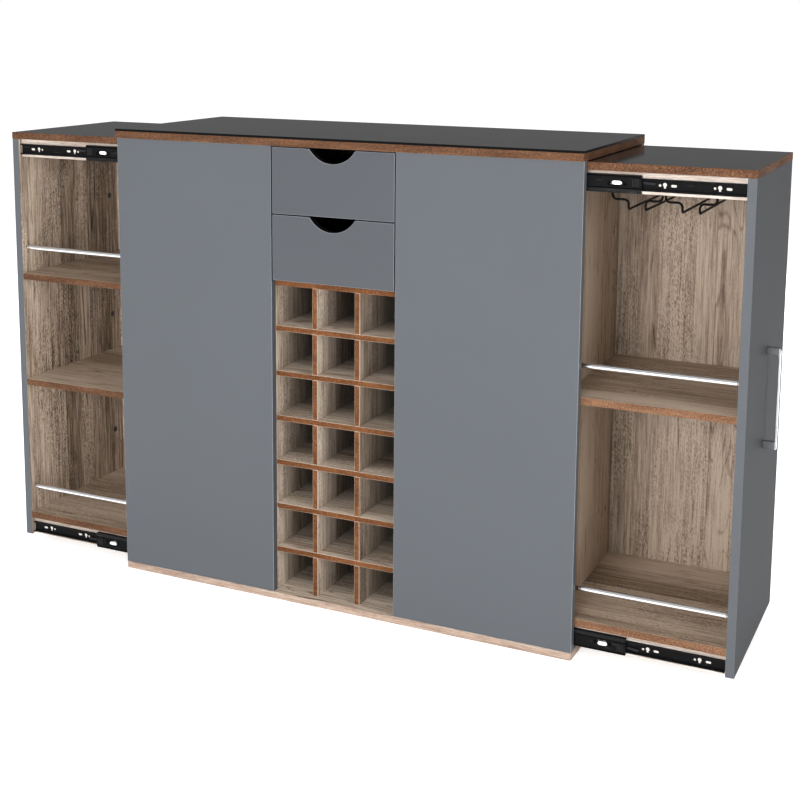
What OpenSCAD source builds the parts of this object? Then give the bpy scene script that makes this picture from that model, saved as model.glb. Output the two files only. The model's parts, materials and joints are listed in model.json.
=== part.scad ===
// Bar cabinet with two pull-out side units, two drawers and a bottle rack.
// Millimetres, +Z up, +X to the right, +Y to the back. The origin is on the
// underside of the base, halfway between the front panels and the rear panel.
// The pull-outs are drawn open and the drawers closed.

/* [Body] */
// Height from the floor to the top of the glass
body_h = 1050; // [1000:5:1150]
// Width of each front panel
panel_w = 403; // [400:1:460]
// Clear width of the centre bay between the two front panels
bay_w = 298; // [280:1:330]
// Thickness of the front panels, end panels and drawer fronts
panel_t = 18; // [16:0.5:20]
// Thickness of the top, the base, the partitions and the pull-out boards
board_t = 16; // [15:0.5:18]
// Thickness of the glass on the top
glass_t = 5; // [4:0.5:8]
// How far the top stands out in front of the front panels
top_overhang = 6; // [2:0.5:14]
// How far the top stands out past each side
side_overhang = 1; // [0.5:0.5:4]
// How far the base stands out in front of the front panels
base_overhang = 1.5; // [0.5:0.5:4]
// Corner radius of the base board
base_corner_r = 6; // [2:1:12]

/* [Bottle rack] */
// Thickness of the rack boards and of the shelf above them
rack_t = 12; // [10:0.5:14]
// Clearance on each side of a rack board in its slot
lap_clear = 0.1; // [0.05:0.05:0.4]

/* [Drawers] */
// Height of a drawer front
drawer_h = 144; // [135:1:160]
// Gap round the drawer fronts
front_gap = 3; // [2:0.5:5]
// Length of a drawer box behind its front
drawer_d = 350; // [320:5:390]
// Height of a drawer box
drawer_box_h = 88; // [75:1:90]
// How far the drawer box starts above the lower edge of its front
drawer_box_lift = 12; // [8:1:14]
// Thickness of the drawer sides and back
drawer_side_t = 12; // [10:0.5:15]
// Thickness of the drawer bottom
drawer_bottom_t = 4; // [3:0.5:6]
// Height of the drawer bottom above the lower edge of the box
drawer_bottom_lift = 8; // [6:0.5:12]
// Depth of the groove that holds the drawer bottom
groove_d = 5; // [3:0.5:7]
// Radius of the finger cut-out in a drawer front
cutout_r = 64; // [50:1:80]
// Depth of the finger cut-out
cutout_d = 30.5; // [20:0.5:36]
// Rounding of the two upper corners of the cut-out
cutout_fillet = 4; // [2:0.5:8]
// Length of a drawer runner
runner_l = 300; // [280:5:310]
// Height of the fixed member of a drawer runner
runner_h = 35; // [33:1:45]
// Height of the moving member of a drawer runner
runner_inner_h = 24; // [20:1:26]
// Distance of a drawer runner behind the back of the drawer front
runner_start = 4; // [1:1:10]

/* [Pull-outs] */
// Gap between a closed pull-out and the partition behind it
inner_clear = 5; // [3:0.5:12]
// Depth of a pull-out from the front of its shelves to the back of its back panel
pullout_d = 398; // [390:1:420]
// How far the right pull-out is drawn out of the body
right_open = 327; // [250:1:327]
// How far the left pull-out is drawn out of the body
left_open = 320; // [250:1:327]
// Gap between a front panel and the pull-out behind it
front_clear = 1.5; // [1:0.25:3]
// Gap between the top and the pull-out under it
top_clear = 1.5; // [1:0.25:4]
// Height of the underside of a pull-out above the floor
pullout_lift = 24; // [22:0.5:40]
// Overhang of a pull-out's top over its end panel and shelves
slab_overhang = 0.5; // [0.25:0.25:0.75]
// Thickness of the pull-out shelves
shelf_t = 15; // [13:0.5:18]
// Height of the front rails that carry the slides
rail_h = 43; // [43:0.5:60]
// Top of the right pull-out's middle shelf above the floor
right_shelf_z = 553; // [480:1:620]
// Top of the left pull-out's upper shelf above the floor
left_upper_z = 686; // [620:1:740]
// Top of the left pull-out's lower shelf above the floor
left_lower_z = 423; // [350:1:480]

/* [Slides] */
// Thickness of a slide across its members
slide_t = 12.7; // [12.2:0.1:14]
// Height of the fixed member
slide_h = 45; // [43.5:0.5:46]
// Height of the middle member
middle_h = 36; // [34:0.5:37]
// Height of the inner member
inner_h = 25; // [22:0.5:27]
// Sheet thickness of the slide members
steel_t = 1.2; // [1:0.1:1.4]
// Gap between a slide and the board above it
slide_clear = 1.5; // [1:0.25:3]
// Running gap between a ball strip and the member beside it
ball_clear = 0.15; // [0.1:0.05:0.3]
// Distance from the body's side to a slide's outer end when it is closed
slide_inset = 20; // [20:0.5:24]
// Distance from a pull-out's inner end to the inner ends of its slides
slide_short = 12; // [6:1:20]
// Share of the pull-out's travel that the middle member makes
middle_share = 0.39; // [0.36:0.01:0.42]

/* [Fittings] */
// Diameter of a gallery rod
rod_d = 8; // [6:0.5:10]
// Height of a gallery rod above its shelf
rod_up = 62; // [45:1:80]
// Distance of a gallery rod behind the front of the shelves
rod_back = 18; // [18:0.5:40]
// Length of a rod socket
socket_l = 6; // [4:0.5:10]
// Wall of a rod socket
socket_wall = 2; // [1.5:0.5:3]
// Height of the handle
handle_h = 212; // [160:2:260]
// How far the handle stands out
handle_out = 29; // [24:0.5:40]
// Width of the handle, from front to back
handle_w = 12; // [9:0.5:18]
// Thickness of the handle's grip bar
grip_t = 5; // [4:0.5:8]
// Height of each foot of the handle
handle_foot = 16; // [12:0.5:22]
// Middle of the handle above the floor
handle_z = 544; // [480:1:600]
// Diameter of the handle screws
screw_d = 4; // [3:0.5:5]
// Diameter of the cam locks
cam_d = 15; // [13:0.5:18]
// Thickness of the cam locks
cam_t = 11; // [9:0.5:12]
// Distance of the cam locks in front of the back panel
cam_back = 34; // [24:1:40]
// Diameter of the cam bolts
cam_bolt_d = 7; // [5:0.5:8]
// Diameter of the dowels
dowel_d = 8; // [6:0.5:9]
// Length of the dowels
dowel_l = 24; // [16:1:26]
// Clearance round pins, bolts and rods in their holes
pin_clear = 0.1; // [0.05:0.05:0.3]

/* [Glass rack] */
// Diameter of the rack wire
wire_d = 4; // [3:0.5:5]
// Distance between the two wires of a slot
slot_w = 34; // [28:1:40]
// Distance between the middles of the two slots
slot_pitch = 107.5; // [106:0.5:112]
// Distance between the two uprights of a slot
hanger_w = 101; // [92:0.5:101]
// Height of the side lips below the underside of the pull-out's top
lip_drop = 64; // [50:1:80]
// Height of the slot wires below the side lips
slot_drop = 19.5; // [15:0.5:26]
// Distance of the front of the rack behind the front of the shelves
hanger_back = 76; // [60:1:90]
// Length of the slots
slot_l = 250; // [200:5:270]
// Bend radius of the wire
bend_r = 7; // [5:0.5:7.5]

/* [Hidden] */
$fn = 48;

// A cutter runs this far past a face, so that no skin is left
cut = 1;
rack_rows = 7;
rack_cols = 3;

// Colours
grey = [0.42, 0.44, 0.46];
oak = [0.50, 0.43, 0.36];
core = [0.47, 0.32, 0.22];
pale_oak = [0.80, 0.72, 0.64];
black = [0.06, 0.06, 0.065];
chrome = [0.86, 0.86, 0.87];
zinc = [0.62, 0.63, 0.64];
beech = [0.72, 0.58, 0.42];

// The body, from the front to the back
body_w = bay_w + 2 * panel_w;
body_d = panel_t + front_clear + pullout_d + slide_t + board_t;
front_y = -body_d / 2;
panel_back_y = front_y + panel_t;
shelf_front_y = panel_back_y + front_clear;
rail_y = panel_back_y + slide_t;
back_y = shelf_front_y + pullout_d;
back_panel_y = back_y - board_t;
rear_y = back_y + slide_t;
inside_d = rear_y - panel_back_y;
shelf_d = back_panel_y - shelf_front_y;

// The body, from the floor up
top_z = body_h - glass_t;
under_top = top_z - board_t;
floor_z = board_t;
panel_h = under_top - floor_z;
upper_front_z = under_top - front_gap - drawer_h;
lower_front_z = upper_front_z - front_gap - drawer_h;
rack_top = lower_front_z - front_gap - rack_t;

// The bottle rack
cell_w = (bay_w - (rack_cols - 1) * rack_t) / rack_cols;
cell_h = (rack_top - floor_z - (rack_rows - 1) * rack_t) / rack_rows;
divider_x = (cell_w + rack_t) / 2;
lap_y = panel_back_y + inside_d / 2;
function rack_shelf_z(i) = floor_z + i * cell_h + (i - 1) * rack_t;

// A pull-out: x = 0 is the outer face of its end panel, and the body lies at -x
pullout_l = panel_w - board_t - inner_clear;
slide_l = pullout_l - slide_inset - slide_short;
end_in = -panel_t;
inner_out = -pullout_l;
inner_in = inner_out + board_t;
clear_w = end_in - inner_in;
slab_under = under_top - top_clear - board_t;
side_h = slab_under - pullout_lift;
bottom_under = pullout_lift + rail_h;
bottom_top = bottom_under + board_t;
slide_heights = [for (z = [slab_under, bottom_under]) z - slide_clear - slide_h / 2];
handle_y = (shelf_front_y + back_y) / 2;
handle_screws = [for (s = [-1, 1]) handle_z + s * (handle_h - handle_foot) / 2];
rod_y = shelf_front_y + rod_back;

// Cam locks and their bolts hold the back panel to the end and inner panels
cam_sink = 1.5;
cam_y = back_panel_y - cam_back;
cam_end_margin = 175;
cam_heights = [for (k = [-1:1]) pullout_lift + side_h / 2 + k * (side_h / 2 - cam_end_margin)];
bolt_grip = 11;
bolt_xs = [-panel_t / 2, inner_out + board_t / 2];

// Handle screws, sunk from the inner face of the end panel
screw_head_d = 2 * screw_d;
screw_head_t = 2.5;
screw_bite = 10;

// Dowels between upright boards and the base and top of the body
panel_mid_x = (bay_w + panel_w) / 2;
// Share of a board's length between its middle and its outer dowels
dowel_reach = 0.36;
carcass_dowel_spots = concat(
    [for (s = [-1, 1], k = [-1, 1]) [s * panel_mid_x + k * dowel_reach * panel_w, front_y + panel_t / 2]],
    [for (k = [-1:1]) [k * (panel_mid_x + dowel_reach * panel_w), rear_y + board_t / 2]],
    [for (s = [-1, 1], k = [-1, 1]) [s * (bay_w + board_t) / 2, lap_y + k * dowel_reach * inside_d]]);
drawer_shelf_dowel_ys = [for (k = [-1, 1]) lap_y + k * dowel_reach * inside_d];

// Dowels in the ends of a pull-out's shelves and under its top, as shares of the depth
front_dowel_share = 0.15;
back_dowel_share = 0.25;
shelf_dowel_ys = [shelf_front_y + front_dowel_share * shelf_d, back_panel_y - back_dowel_share * shelf_d];

// The sections of a slide, measured out from the face that carries its fixed member
member_gap = 1;
race_raise = 0.7;
race_h = middle_h / 4;
lip = 1.6;
race_start = steel_t + member_gap;
middle_start = race_start + race_raise;
strip_start = middle_start + steel_t + member_gap;
fixed_depth = slide_t - middle_start;
middle_depth = slide_t - steel_t - member_gap - middle_start;
inner_depth = slide_t - strip_start;
strip_t = fixed_depth - steel_t - ball_clear - strip_start;

// Drawers
box_w = bay_w - 2 * slide_t;
front_w = bay_w - 2 * front_gap;
drawer_bottom_w = box_w - 2 * drawer_side_t + 2 * groove_d - 2 * lap_clear;

// A board from its corner nearest the origin's left, front and floor, and its sizes
module board(corner, size) {
    translate(corner) cube(size);
}

// A rectangle with round corners, from its lower left corner
module rounded_plate(w, d, r) {
    translate([r, 0]) square([w - 2 * r, d]);
    translate([0, r]) square([w, d - 2 * r]);
    for (x = [r, w - r], y = [r, d - r]) translate([x, y]) circle(r);
}

// A slot with round ends, centred, along X
module oblong(l, w) {
    square([l - w, w], center = true);
    for (s = [-1, 1]) translate([s * (l - w) / 2, 0]) circle(d = w);
}

// Runs a section drawn as [out from the wall, up] along X, or along Y
module along_x(x, l) {
    translate([x, 0, 0]) rotate([90, 0, 90]) linear_extrude(l) children();
}

module along_y(y, l) {
    translate([0, y + l, 0]) rotate([90, 0, 0]) linear_extrude(l) children();
}

// An upright dowel, or its hole, centred on the joint it crosses
module upright_dowel(clear = 0) {
    cylinder(d = dowel_d + 2 * clear, h = dowel_l + 2 * clear, center = true);
}

// A dowel, or its hole, along X
module side_dowel(clear = 0) {
    rotate([0, 90, 0]) upright_dowel(clear);
}

module carcass_dowel_set(clear = 0) {
    for (spot = carcass_dowel_spots, z = [floor_z, under_top])
        translate([spot.x, spot.y, z]) upright_dowel(clear);
    for (s = [-1, 1], y = drawer_shelf_dowel_ys)
        translate([s * bay_w / 2, y, rack_top + rack_t / 2]) side_dowel(clear);
}

// The body

module base_board() {
    w = body_w + side_overhang;
    d = body_d + base_overhang;
    color(pale_oak) difference() {
        translate([-w / 2, front_y - base_overhang, 0])
            linear_extrude(board_t) rounded_plate(w, d, base_corner_r);
        carcass_dowel_set(pin_clear);
    }
}

module top_outline(z, t) {
    w = body_w + 2 * side_overhang;
    board([-w / 2, front_y - top_overhang, z], [w, body_d + top_overhang, t]);
}

module top_board() {
    color(core) difference() {
        top_outline(under_top, board_t);
        carcass_dowel_set(pin_clear);
    }
}

module top_glass() {
    color(black) top_outline(top_z, glass_t);
}

module front_panel(x) {
    color(grey) difference() {
        board([x, front_y, floor_z], [panel_w, panel_t, panel_h]);
        carcass_dowel_set(pin_clear);
    }
}

module rear_panel() {
    color(grey) difference() {
        board([-body_w / 2, rear_y, floor_z], [body_w, board_t, panel_h]);
        carcass_dowel_set(pin_clear);
    }
}

module partition(x) {
    color(oak) difference() {
        board([x, panel_back_y, floor_z], [board_t, inside_d, panel_h]);
        carcass_dowel_set(pin_clear);
    }
}

module drawer_shelf() {
    color(core) difference() {
        board([-bay_w / 2, panel_back_y, rack_top], [bay_w, inside_d, rack_t]);
        carcass_dowel_set(pin_clear);
    }
}

module carcass_dowels() {
    color(beech) carcass_dowel_set();
}

// The bottle rack: shelves are slotted from the back and dividers from the
// front, each to half its depth, and they lock into each other

module rack_shelf(i) {
    slot = rack_t + 2 * lap_clear;
    color(core) difference() {
        board([-bay_w / 2, panel_back_y, rack_shelf_z(i)], [bay_w, inside_d, rack_t]);
        for (s = [-1, 1])
            board([s * divider_x - slot / 2, lap_y, rack_shelf_z(i) - cut],
                [slot, inside_d, rack_t + 2 * cut]);
    }
}

module rack_divider(s) {
    slot = rack_t + 2 * lap_clear;
    color(core) difference() {
        board([s * divider_x - rack_t / 2, panel_back_y, floor_z], [rack_t, inside_d, rack_top - floor_z]);
        for (i = [1:rack_rows - 1])
            board([s * divider_x - rack_t / 2 - cut, panel_back_y - cut, rack_shelf_z(i) - lap_clear],
                [rack_t + 2 * cut, inside_d / 2 + cut, slot]);
    }
}

// Telescopic slides

// A C section with its web at the wall, its flanges out to depth d and its lips turned in
module channel(h, d) {
    r = 1.5 * steel_t;
    difference() {
        translate([0, -h / 2]) rounded_plate(d + 2 * r, h, r);
        translate([steel_t, steel_t - h / 2]) rounded_plate(d + 2 * r, h - 2 * steel_t, r / 2);
        translate([d, -h]) square([3 * r, 2 * h]);
    }
    for (s = [-1, 1])
        translate([d - steel_t / 2, s * (h / 2 - steel_t / 2 - lip / 2)])
            square([steel_t, lip + steel_t], center = true);
}

// The middle section: a channel whose ball races stand out towards the wall
module middle_section() {
    translate([middle_start, 0]) channel(middle_h, middle_depth);
    for (s = [-1, 1])
        translate([race_start, s * (middle_h / 2 - race_h / 2) - race_h / 2])
            rounded_plate(race_raise + steel_t, race_h, steel_t / 2);
}

module inner_section() {
    translate([slide_t, 0]) mirror([1, 0]) channel(inner_h, inner_depth);
}

// Strips of balls, above and below a member of height h, inside one of height around_h
module ball_strip_section(h, around_h) {
    low = h / 2 + ball_clear;
    high = around_h / 2 - steel_t - ball_clear;
    for (s = [-1, 1])
        translate([strip_start, s * (low + high) / 2 - (high - low) / 2])
            square([strip_t, high - low]);
}

// Screw holes from a member's outer end: groups of an oblong, a keyhole and a round hole
module screw_holes() {
    first = 33;
    pitch = 105;
    hole_d = 5;
    oblong_l = 11;
    key_d = 8;
    key_back = 17.5;
    key_up = 1.5;
    round_back = 27;
    for (k = [0:2]) translate([-first - k * pitch, 0]) {
        oblong(oblong_l, hole_d);
        translate([-key_back, key_up]) circle(d = key_d);
        translate([-key_back, key_up - key_d / 2]) square([hole_d - 1, key_d - 2], center = true);
        translate([-round_back, 0]) circle(d = hole_d);
    }
}

// A sheet-metal pattern drawn as [along, up] from a member's outer end, cut through its web
module through_web(x) {
    translate([x, 0, 0]) rotate([90, 0, 0]) linear_extrude(4 * slide_t, center = true) children();
}

// Puts one slide at the top and one at the bottom of the front and of the back. Its
// child is drawn with +Y out from the wall that carries the fixed member
module at_slides() {
    for (z = slide_heights) {
        translate([0, panel_back_y, z]) children();
        translate([0, rear_y, z]) mirror([0, 1, 0]) children();
    }
}

module fixed_slide(x) {
    difference() {
        along_x(x - slide_l, slide_l) channel(slide_h, fixed_depth);
        through_web(x) screw_holes();
    }
}

module fixed_slides() {
    x = body_w / 2 - slide_inset;
    color(black) for (side = [0, 1]) mirror([side, 0, 0]) at_slides() fixed_slide(x);
}

// The middle member, its plastic end cap and its four strips of balls
module middle_slide(x) {
    cap_l = 20;
    end_gap = 0.5;
    cap_over = slide_inset - panel_t - end_gap;
    strip_l = 120;
    slot_back = 48;
    slot_long = 21;
    slot_wide = 11;
    hole_d = 8;
    near_hole = 32;
    far_hole = 63;
    difference() {
        along_x(x - slide_l, slide_l) middle_section();
        through_web(x) {
            translate([-slot_back, 0]) oblong(slot_long, slot_wide);
            for (back = [near_hole, far_hole]) translate([-back, 0]) circle(d = hole_d);
        }
    }
    translate([x - cap_l, race_start, -race_h]) cube([cap_l + cap_over, race_raise, 2 * race_h]);
    translate([x, middle_start, -race_h]) cube([cap_over, steel_t, 2 * race_h]);
    along_x(x - slide_l + steel_t, strip_l) ball_strip_section(middle_h, slide_h);
    along_x(x - strip_l - steel_t, strip_l) ball_strip_section(inner_h, middle_h);
}

module middle_slides(open) {
    color(black) at_slides() middle_slide(body_w / 2 - slide_inset + middle_share * open);
}

// The inner members lie on the pull-out's rails and back panel
module inner_slides() {
    color(black) at_slides() difference() {
        along_x(-slide_inset - slide_l, slide_l) inner_section();
        through_web(-slide_inset) screw_holes();
    }
}

// The pull-outs. Each is drawn in its own place and set at its distance from the body

module at_right() {
    translate([body_w / 2 + right_open, 0, 0]) children();
}

module at_left() {
    mirror([1, 0, 0]) translate([body_w / 2 + left_open, 0, 0]) children();
}

// All holes and pins of a pull-out whose shelves have the given upper faces
module pullout_dowel_set(shelf_tops, clear = 0) {
    middles = concat([for (z = shelf_tops) z - shelf_t / 2], [bottom_under + board_t / 2]);
    for (x = [inner_in, end_in]) {
        for (z = middles, y = shelf_dowel_ys) translate([x, y, z]) side_dowel(clear);
        for (z = [slab_under - rail_h / 2, pullout_lift + rail_h / 2])
            translate([x, rail_y + board_t / 2, z]) side_dowel(clear);
    }
    for (x = bolt_xs, y = shelf_dowel_ys) translate([x, y, slab_under]) upright_dowel(clear);
}

// Cam locks seen from inside the pull-out, with a cross recess
module cam_set() {
    recess_w = 2;
    recess_d = 2;
    for (side = [[end_in + cam_sink, 0], [inner_in - cam_sink, 180]], z = cam_heights)
        translate([side[0], cam_y, z]) rotate([0, 90, side[1]]) difference() {
            cylinder(d = cam_d, h = cam_t);
            for (a = [0, 90]) rotate(a) cube([cam_d / 2, recess_w, 2 * recess_d], center = true);
        }
}

module cam_hole_set() {
    for (side = [[end_in - cut, 0], [inner_in + cut, 180]], z = cam_heights)
        translate([side[0], cam_y, z]) rotate([0, 90, side[1]])
            cylinder(d = cam_d + 2 * pin_clear, h = cam_t + cam_sink + cut);
}

// Bolts from the back panel to the cam locks, or their holes, which run on into the cams' holes
module cam_bolt_set(clear = 0, run_on = 0) {
    start = cam_y + cam_d / 2 + pin_clear - run_on;
    for (x = bolt_xs, z = cam_heights)
        translate([x, start, z]) rotate([-90, 0, 0])
            cylinder(d = cam_bolt_d + 2 * clear, h = back_panel_y + bolt_grip + clear - start);
}

module handle_screw_set(clear = 0) {
    for (z = handle_screws) translate([end_in - clear, handle_y, z]) rotate([0, 90, 0]) {
        cylinder(d = screw_head_d + 2 * clear, h = screw_head_t + clear);
        cylinder(d = screw_d + 2 * clear, h = panel_t + screw_bite + 2 * clear);
    }
}

module slab() {
    color(core) difference() {
        board([inner_out, shelf_front_y - slab_overhang, slab_under],
            [pullout_l + slab_overhang, pullout_d + 2 * slab_overhang, board_t]);
        pullout_dowel_set([], pin_clear);
    }
}

module end_panel(shelf_tops) {
    color(grey) difference() {
        board([end_in, shelf_front_y, pullout_lift], [panel_t, shelf_d, side_h]);
        pullout_dowel_set(shelf_tops, pin_clear);
        cam_hole_set();
        cam_bolt_set(pin_clear, cut);
        handle_screw_set(pin_clear);
    }
}

module inner_panel(shelf_tops) {
    color(oak) difference() {
        board([inner_out, rail_y, pullout_lift], [board_t, back_panel_y - rail_y, side_h]);
        pullout_dowel_set(shelf_tops, pin_clear);
        cam_hole_set();
        cam_bolt_set(pin_clear, cut);
    }
}

module back_panel() {
    color(oak) difference() {
        board([inner_out, back_panel_y, pullout_lift], [pullout_l, board_t, side_h]);
        cam_bolt_set(pin_clear, cut);
    }
}

module shelf(top, t, shelf_tops) {
    color(core) difference() {
        board([inner_in, shelf_front_y, top - t], [clear_w, shelf_d, t]);
        pullout_dowel_set(shelf_tops, pin_clear);
    }
}

module rail(z) {
    color(pale_oak) difference() {
        board([inner_in, rail_y, z], [clear_w, board_t, rail_h]);
        pullout_dowel_set([], pin_clear);
    }
}

// Gallery rods above the given shelves, each in two sockets
module gallery_rods(shelf_tops) {
    seat = 1;
    color(chrome) for (top = shelf_tops) translate([0, rod_y, top + rod_up]) {
        translate([inner_in + seat, 0, 0]) rotate([0, 90, 0]) cylinder(d = rod_d, h = clear_w - 2 * seat);
        rod_socket(inner_in, 0, seat);
        rod_socket(end_in, 180, seat);
    }
}

module rod_socket(x, turn, seat) {
    translate([x, 0, 0]) rotate([0, 90, turn]) difference() {
        cylinder(d = rod_d + 2 * socket_wall, h = socket_l);
        translate([0, 0, seat]) cylinder(d = rod_d + 2 * pin_clear, h = socket_l);
    }
}

// The handle's outline, as [out from the end panel, up]
module handle_outline() {
    outer_r = 5;
    inner_r = 4;
    gap_h = handle_h - 2 * handle_foot;
    difference() {
        translate([-outer_r, -handle_h / 2]) rounded_plate(handle_out + outer_r, handle_h, outer_r);
        translate([-2 * outer_r, -handle_h]) square([2 * outer_r, 2 * handle_h]);
        translate([-inner_r, -gap_h / 2]) rounded_plate(handle_out - grip_t + inner_r, gap_h, inner_r);
    }
}

module handle() {
    color(chrome) difference() {
        translate([0, handle_y - handle_w / 2, handle_z]) along_y(0, handle_w) handle_outline();
        handle_screw_set(pin_clear);
    }
}

module fixings() {
    color(zinc) {
        cam_set();
        cam_bolt_set();
        handle_screw_set();
    }
}

module pullout_dowels(shelf_tops) {
    color(beech) pullout_dowel_set(shelf_tops);
}

// The glass rack: four bent wires under two flat bars

// Unit vector from one point to another
function unit(a, b) = (b - a) / norm(b - a);

// The points of a wire's corner, with the direction of the wire at each, as [point, direction]
function bend(a, p, b, r, steps) =
    let (d1 = unit(a, p), d2 = unit(p, b), c = p - r * d1 + r * d2)
    [for (k = [0:steps]) let (t = 90 * k / steps)
        [c + r * (sin(t) * d1 - cos(t) * d2), cos(t) * d1 + sin(t) * d2]];

// A wire's stations from its corner points: its two ends and every bend between them
function stations(path, r, steps) =
    let (last = len(path) - 1)
    concat([[path[0], unit(path[0], path[1])]],
        [for (i = [1:last - 1]) each bend(path[i - 1], path[i], path[i + 1], r, steps)],
        [[path[last], unit(path[last - 1], path[last])]]);

// Carries a side vector from station to station, so that the rings don't twist
function carried(sides, marks, i) = i == len(marks) ? sides :
    let (d = marks[i][1], s = sides[i - 1], flat = s - (s * d) * d)
    carried(concat(sides, [flat / norm(flat)]), marks, i + 1);

module bent_wire(path, d, r) {
    ring = 8;
    steps = 3;
    marks = stations(path, r, steps);
    sides = carried([[0, 1, 0]], marks, 1);
    points = [for (i = [0:len(marks) - 1], k = [0:ring - 1])
        let (u = sides[i], v = cross(marks[i][1], u), a = 360 * k / ring)
        marks[i][0] + d / 2 * (cos(a) * u + sin(a) * v)];
    walls = [for (i = [0:len(marks) - 2], k = [0:ring - 1])
        let (a = i * ring + k, b = i * ring + (k + 1) % ring)
        each [[a, b + ring, b], [a, a + ring, b + ring]]];
    ends = [[for (k = [0:ring - 1]) k], [for (k = [ring - 1:-1:0]) (len(marks) - 1) * ring + k]];
    polyhedron(points, concat(walls, ends));
}

module glass_rack() {
    bar_t = 1.5;
    bar_w = 12;
    middle = (end_in + inner_in) / 2;
    half = slot_pitch / 2 + hanger_w / 2;
    top = slab_under - bar_t / 2;
    lip_z = slab_under - lip_drop;
    slot_z = lip_z - slot_drop;
    front = shelf_front_y + hanger_back;
    back = front + slot_l;
    color(black) {
        for (y = [front, back])
            board([middle - half - bar_w / 2, y - bar_w / 2, slab_under - bar_t],
                [2 * half + bar_w, bar_w, bar_t]);
        for (s = [-1, 1], k = [-1, 1]) {
            out_x = middle + s * slot_pitch / 2 + k * hanger_w / 2;
            slot_x = middle + s * slot_pitch / 2 + k * slot_w / 2;
            bent_wire([[out_x, front, top], [out_x, front, lip_z], [slot_x, front, lip_z],
                [slot_x, front, slot_z], [slot_x, back, slot_z], [slot_x, back, lip_z],
                [out_x, back, lip_z], [out_x, back, top]], wire_d, bend_r);
        }
    }
}

// Drawers. Each is drawn from the height of its front's lower edge

// The finger cut-out, from the middle of the front's upper edge, with rounded corners
module finger_cutout() {
    low = cutout_r - cutout_d;
    round_x = sqrt(pow(cutout_r + cutout_fillet, 2) - pow(low + cutout_fillet, 2));
    share = cutout_r / (cutout_r + cutout_fillet);
    touch = [share * round_x, low - share * (low + cutout_fillet)];
    translate([0, low]) circle(cutout_r, $fn = 2 * $fn);
    difference() {
        polygon([[0, cut], [round_x, cut], [round_x, -cutout_fillet], touch, [-touch.x, touch.y],
            [-round_x, -cutout_fillet], [-round_x, cut]]);
        for (s = [-1, 1]) translate([s * round_x, -cutout_fillet]) circle(cutout_fillet);
    }
}

// The drawer bottom, or with clearance the groove round it
module bottom_sheet(z, clear = 0) {
    board([-drawer_bottom_w / 2 - clear, panel_back_y - groove_d + lap_clear - clear,
            z + drawer_box_lift + drawer_bottom_lift - clear],
        [drawer_bottom_w + 2 * clear, drawer_d + groove_d - lap_clear + clear, drawer_bottom_t + 2 * clear]);
}

module drawer_front(z) {
    color(grey) difference() {
        board([-front_w / 2, front_y, z], [front_w, panel_t, drawer_h]);
        translate([0, 0, z + drawer_h]) along_y(front_y - cut, panel_t + 2 * cut) finger_cutout();
        bottom_sheet(z, lap_clear);
    }
}

module drawer_sides(z) {
    color(oak) difference() {
        for (x = [-box_w / 2, box_w / 2 - drawer_side_t])
            board([x, panel_back_y, z + drawer_box_lift], [drawer_side_t, drawer_d, drawer_box_h]);
        bottom_sheet(z, lap_clear);
    }
}

module drawer_back(z) {
    lift = drawer_bottom_lift + drawer_bottom_t;
    corner = [drawer_side_t - box_w / 2, panel_back_y + drawer_d - drawer_side_t, z + drawer_box_lift + lift];
    color(oak) board(corner, [box_w - 2 * drawer_side_t, drawer_side_t, drawer_box_h - lift]);
}

module drawer_bottom(z) {
    color(oak) bottom_sheet(z);
}

// Drawer runners, at the middle of the box's height. The child faces +X from the left partition
module at_runners(z) {
    for (side = [0, 1])
        mirror([side, 0, 0]) translate([-bay_w / 2, 0, z + drawer_box_lift + drawer_box_h / 2]) children();
}

module drawer_runners(z) {
    strip_l = 50;
    start = panel_back_y + runner_start;
    color(zinc) at_runners(z) {
        along_y(start, runner_l) translate([slide_t, 0]) mirror([1, 0]) channel(runner_inner_h, inner_depth);
        along_y(start + runner_l - strip_l, strip_l) ball_strip_section(runner_inner_h, runner_h);
    }
}

module drawer_fixed_runners() {
    color(zinc) for (z = [upper_front_z, lower_front_z])
        at_runners(z) along_y(panel_back_y + runner_start, runner_l) channel(runner_h, fixed_depth);
}

right_tops = [right_shelf_z];
left_tops = [left_upper_z, left_lower_z];

base_board();
top_board();
top_glass();
front_panel(-bay_w / 2 - panel_w);  // left_front_panel
front_panel(bay_w / 2);  // right_front_panel
rear_panel();
partition(-bay_w / 2 - board_t);  // left_partition
partition(bay_w / 2);  // right_partition
drawer_shelf();
rack_shelf(1);  // rack_shelf_1
rack_shelf(2);  // rack_shelf_2
rack_shelf(3);  // rack_shelf_3
rack_shelf(4);  // rack_shelf_4
rack_shelf(5);  // rack_shelf_5
rack_shelf(6);  // rack_shelf_6
rack_divider(-1);  // rack_divider_left
rack_divider(1);  // rack_divider_right
carcass_dowels();
fixed_slides();
drawer_fixed_runners();
middle_slides(right_open);  // right_middle_slides
mirror([1, 0, 0]) middle_slides(left_open);  // left_middle_slides
at_right() slab();  // right_slab
at_right() end_panel(right_tops);  // right_end_panel
at_right() inner_panel(right_tops);  // right_inner_panel
at_right() back_panel();  // right_back_panel
at_right() shelf(right_shelf_z, shelf_t, right_tops);  // right_shelf
at_right() shelf(bottom_top, board_t, right_tops);  // right_bottom_shelf
at_right() rail(slab_under - rail_h);  // right_top_rail
at_right() rail(pullout_lift);  // right_bottom_rail
at_right() gallery_rods([right_shelf_z, bottom_top]);  // right_gallery_rods
at_right() handle();  // right_handle
at_right() inner_slides();  // right_inner_slides
at_right() fixings();  // right_fixings
at_right() pullout_dowels(right_tops);  // right_dowels
at_right() glass_rack();
at_left() slab();  // left_slab
at_left() end_panel(left_tops);  // left_end_panel
at_left() inner_panel(left_tops);  // left_inner_panel
at_left() back_panel();  // left_back_panel
at_left() shelf(left_upper_z, shelf_t, left_tops);  // left_upper_shelf
at_left() shelf(left_lower_z, shelf_t, left_tops);  // left_lower_shelf
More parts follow.
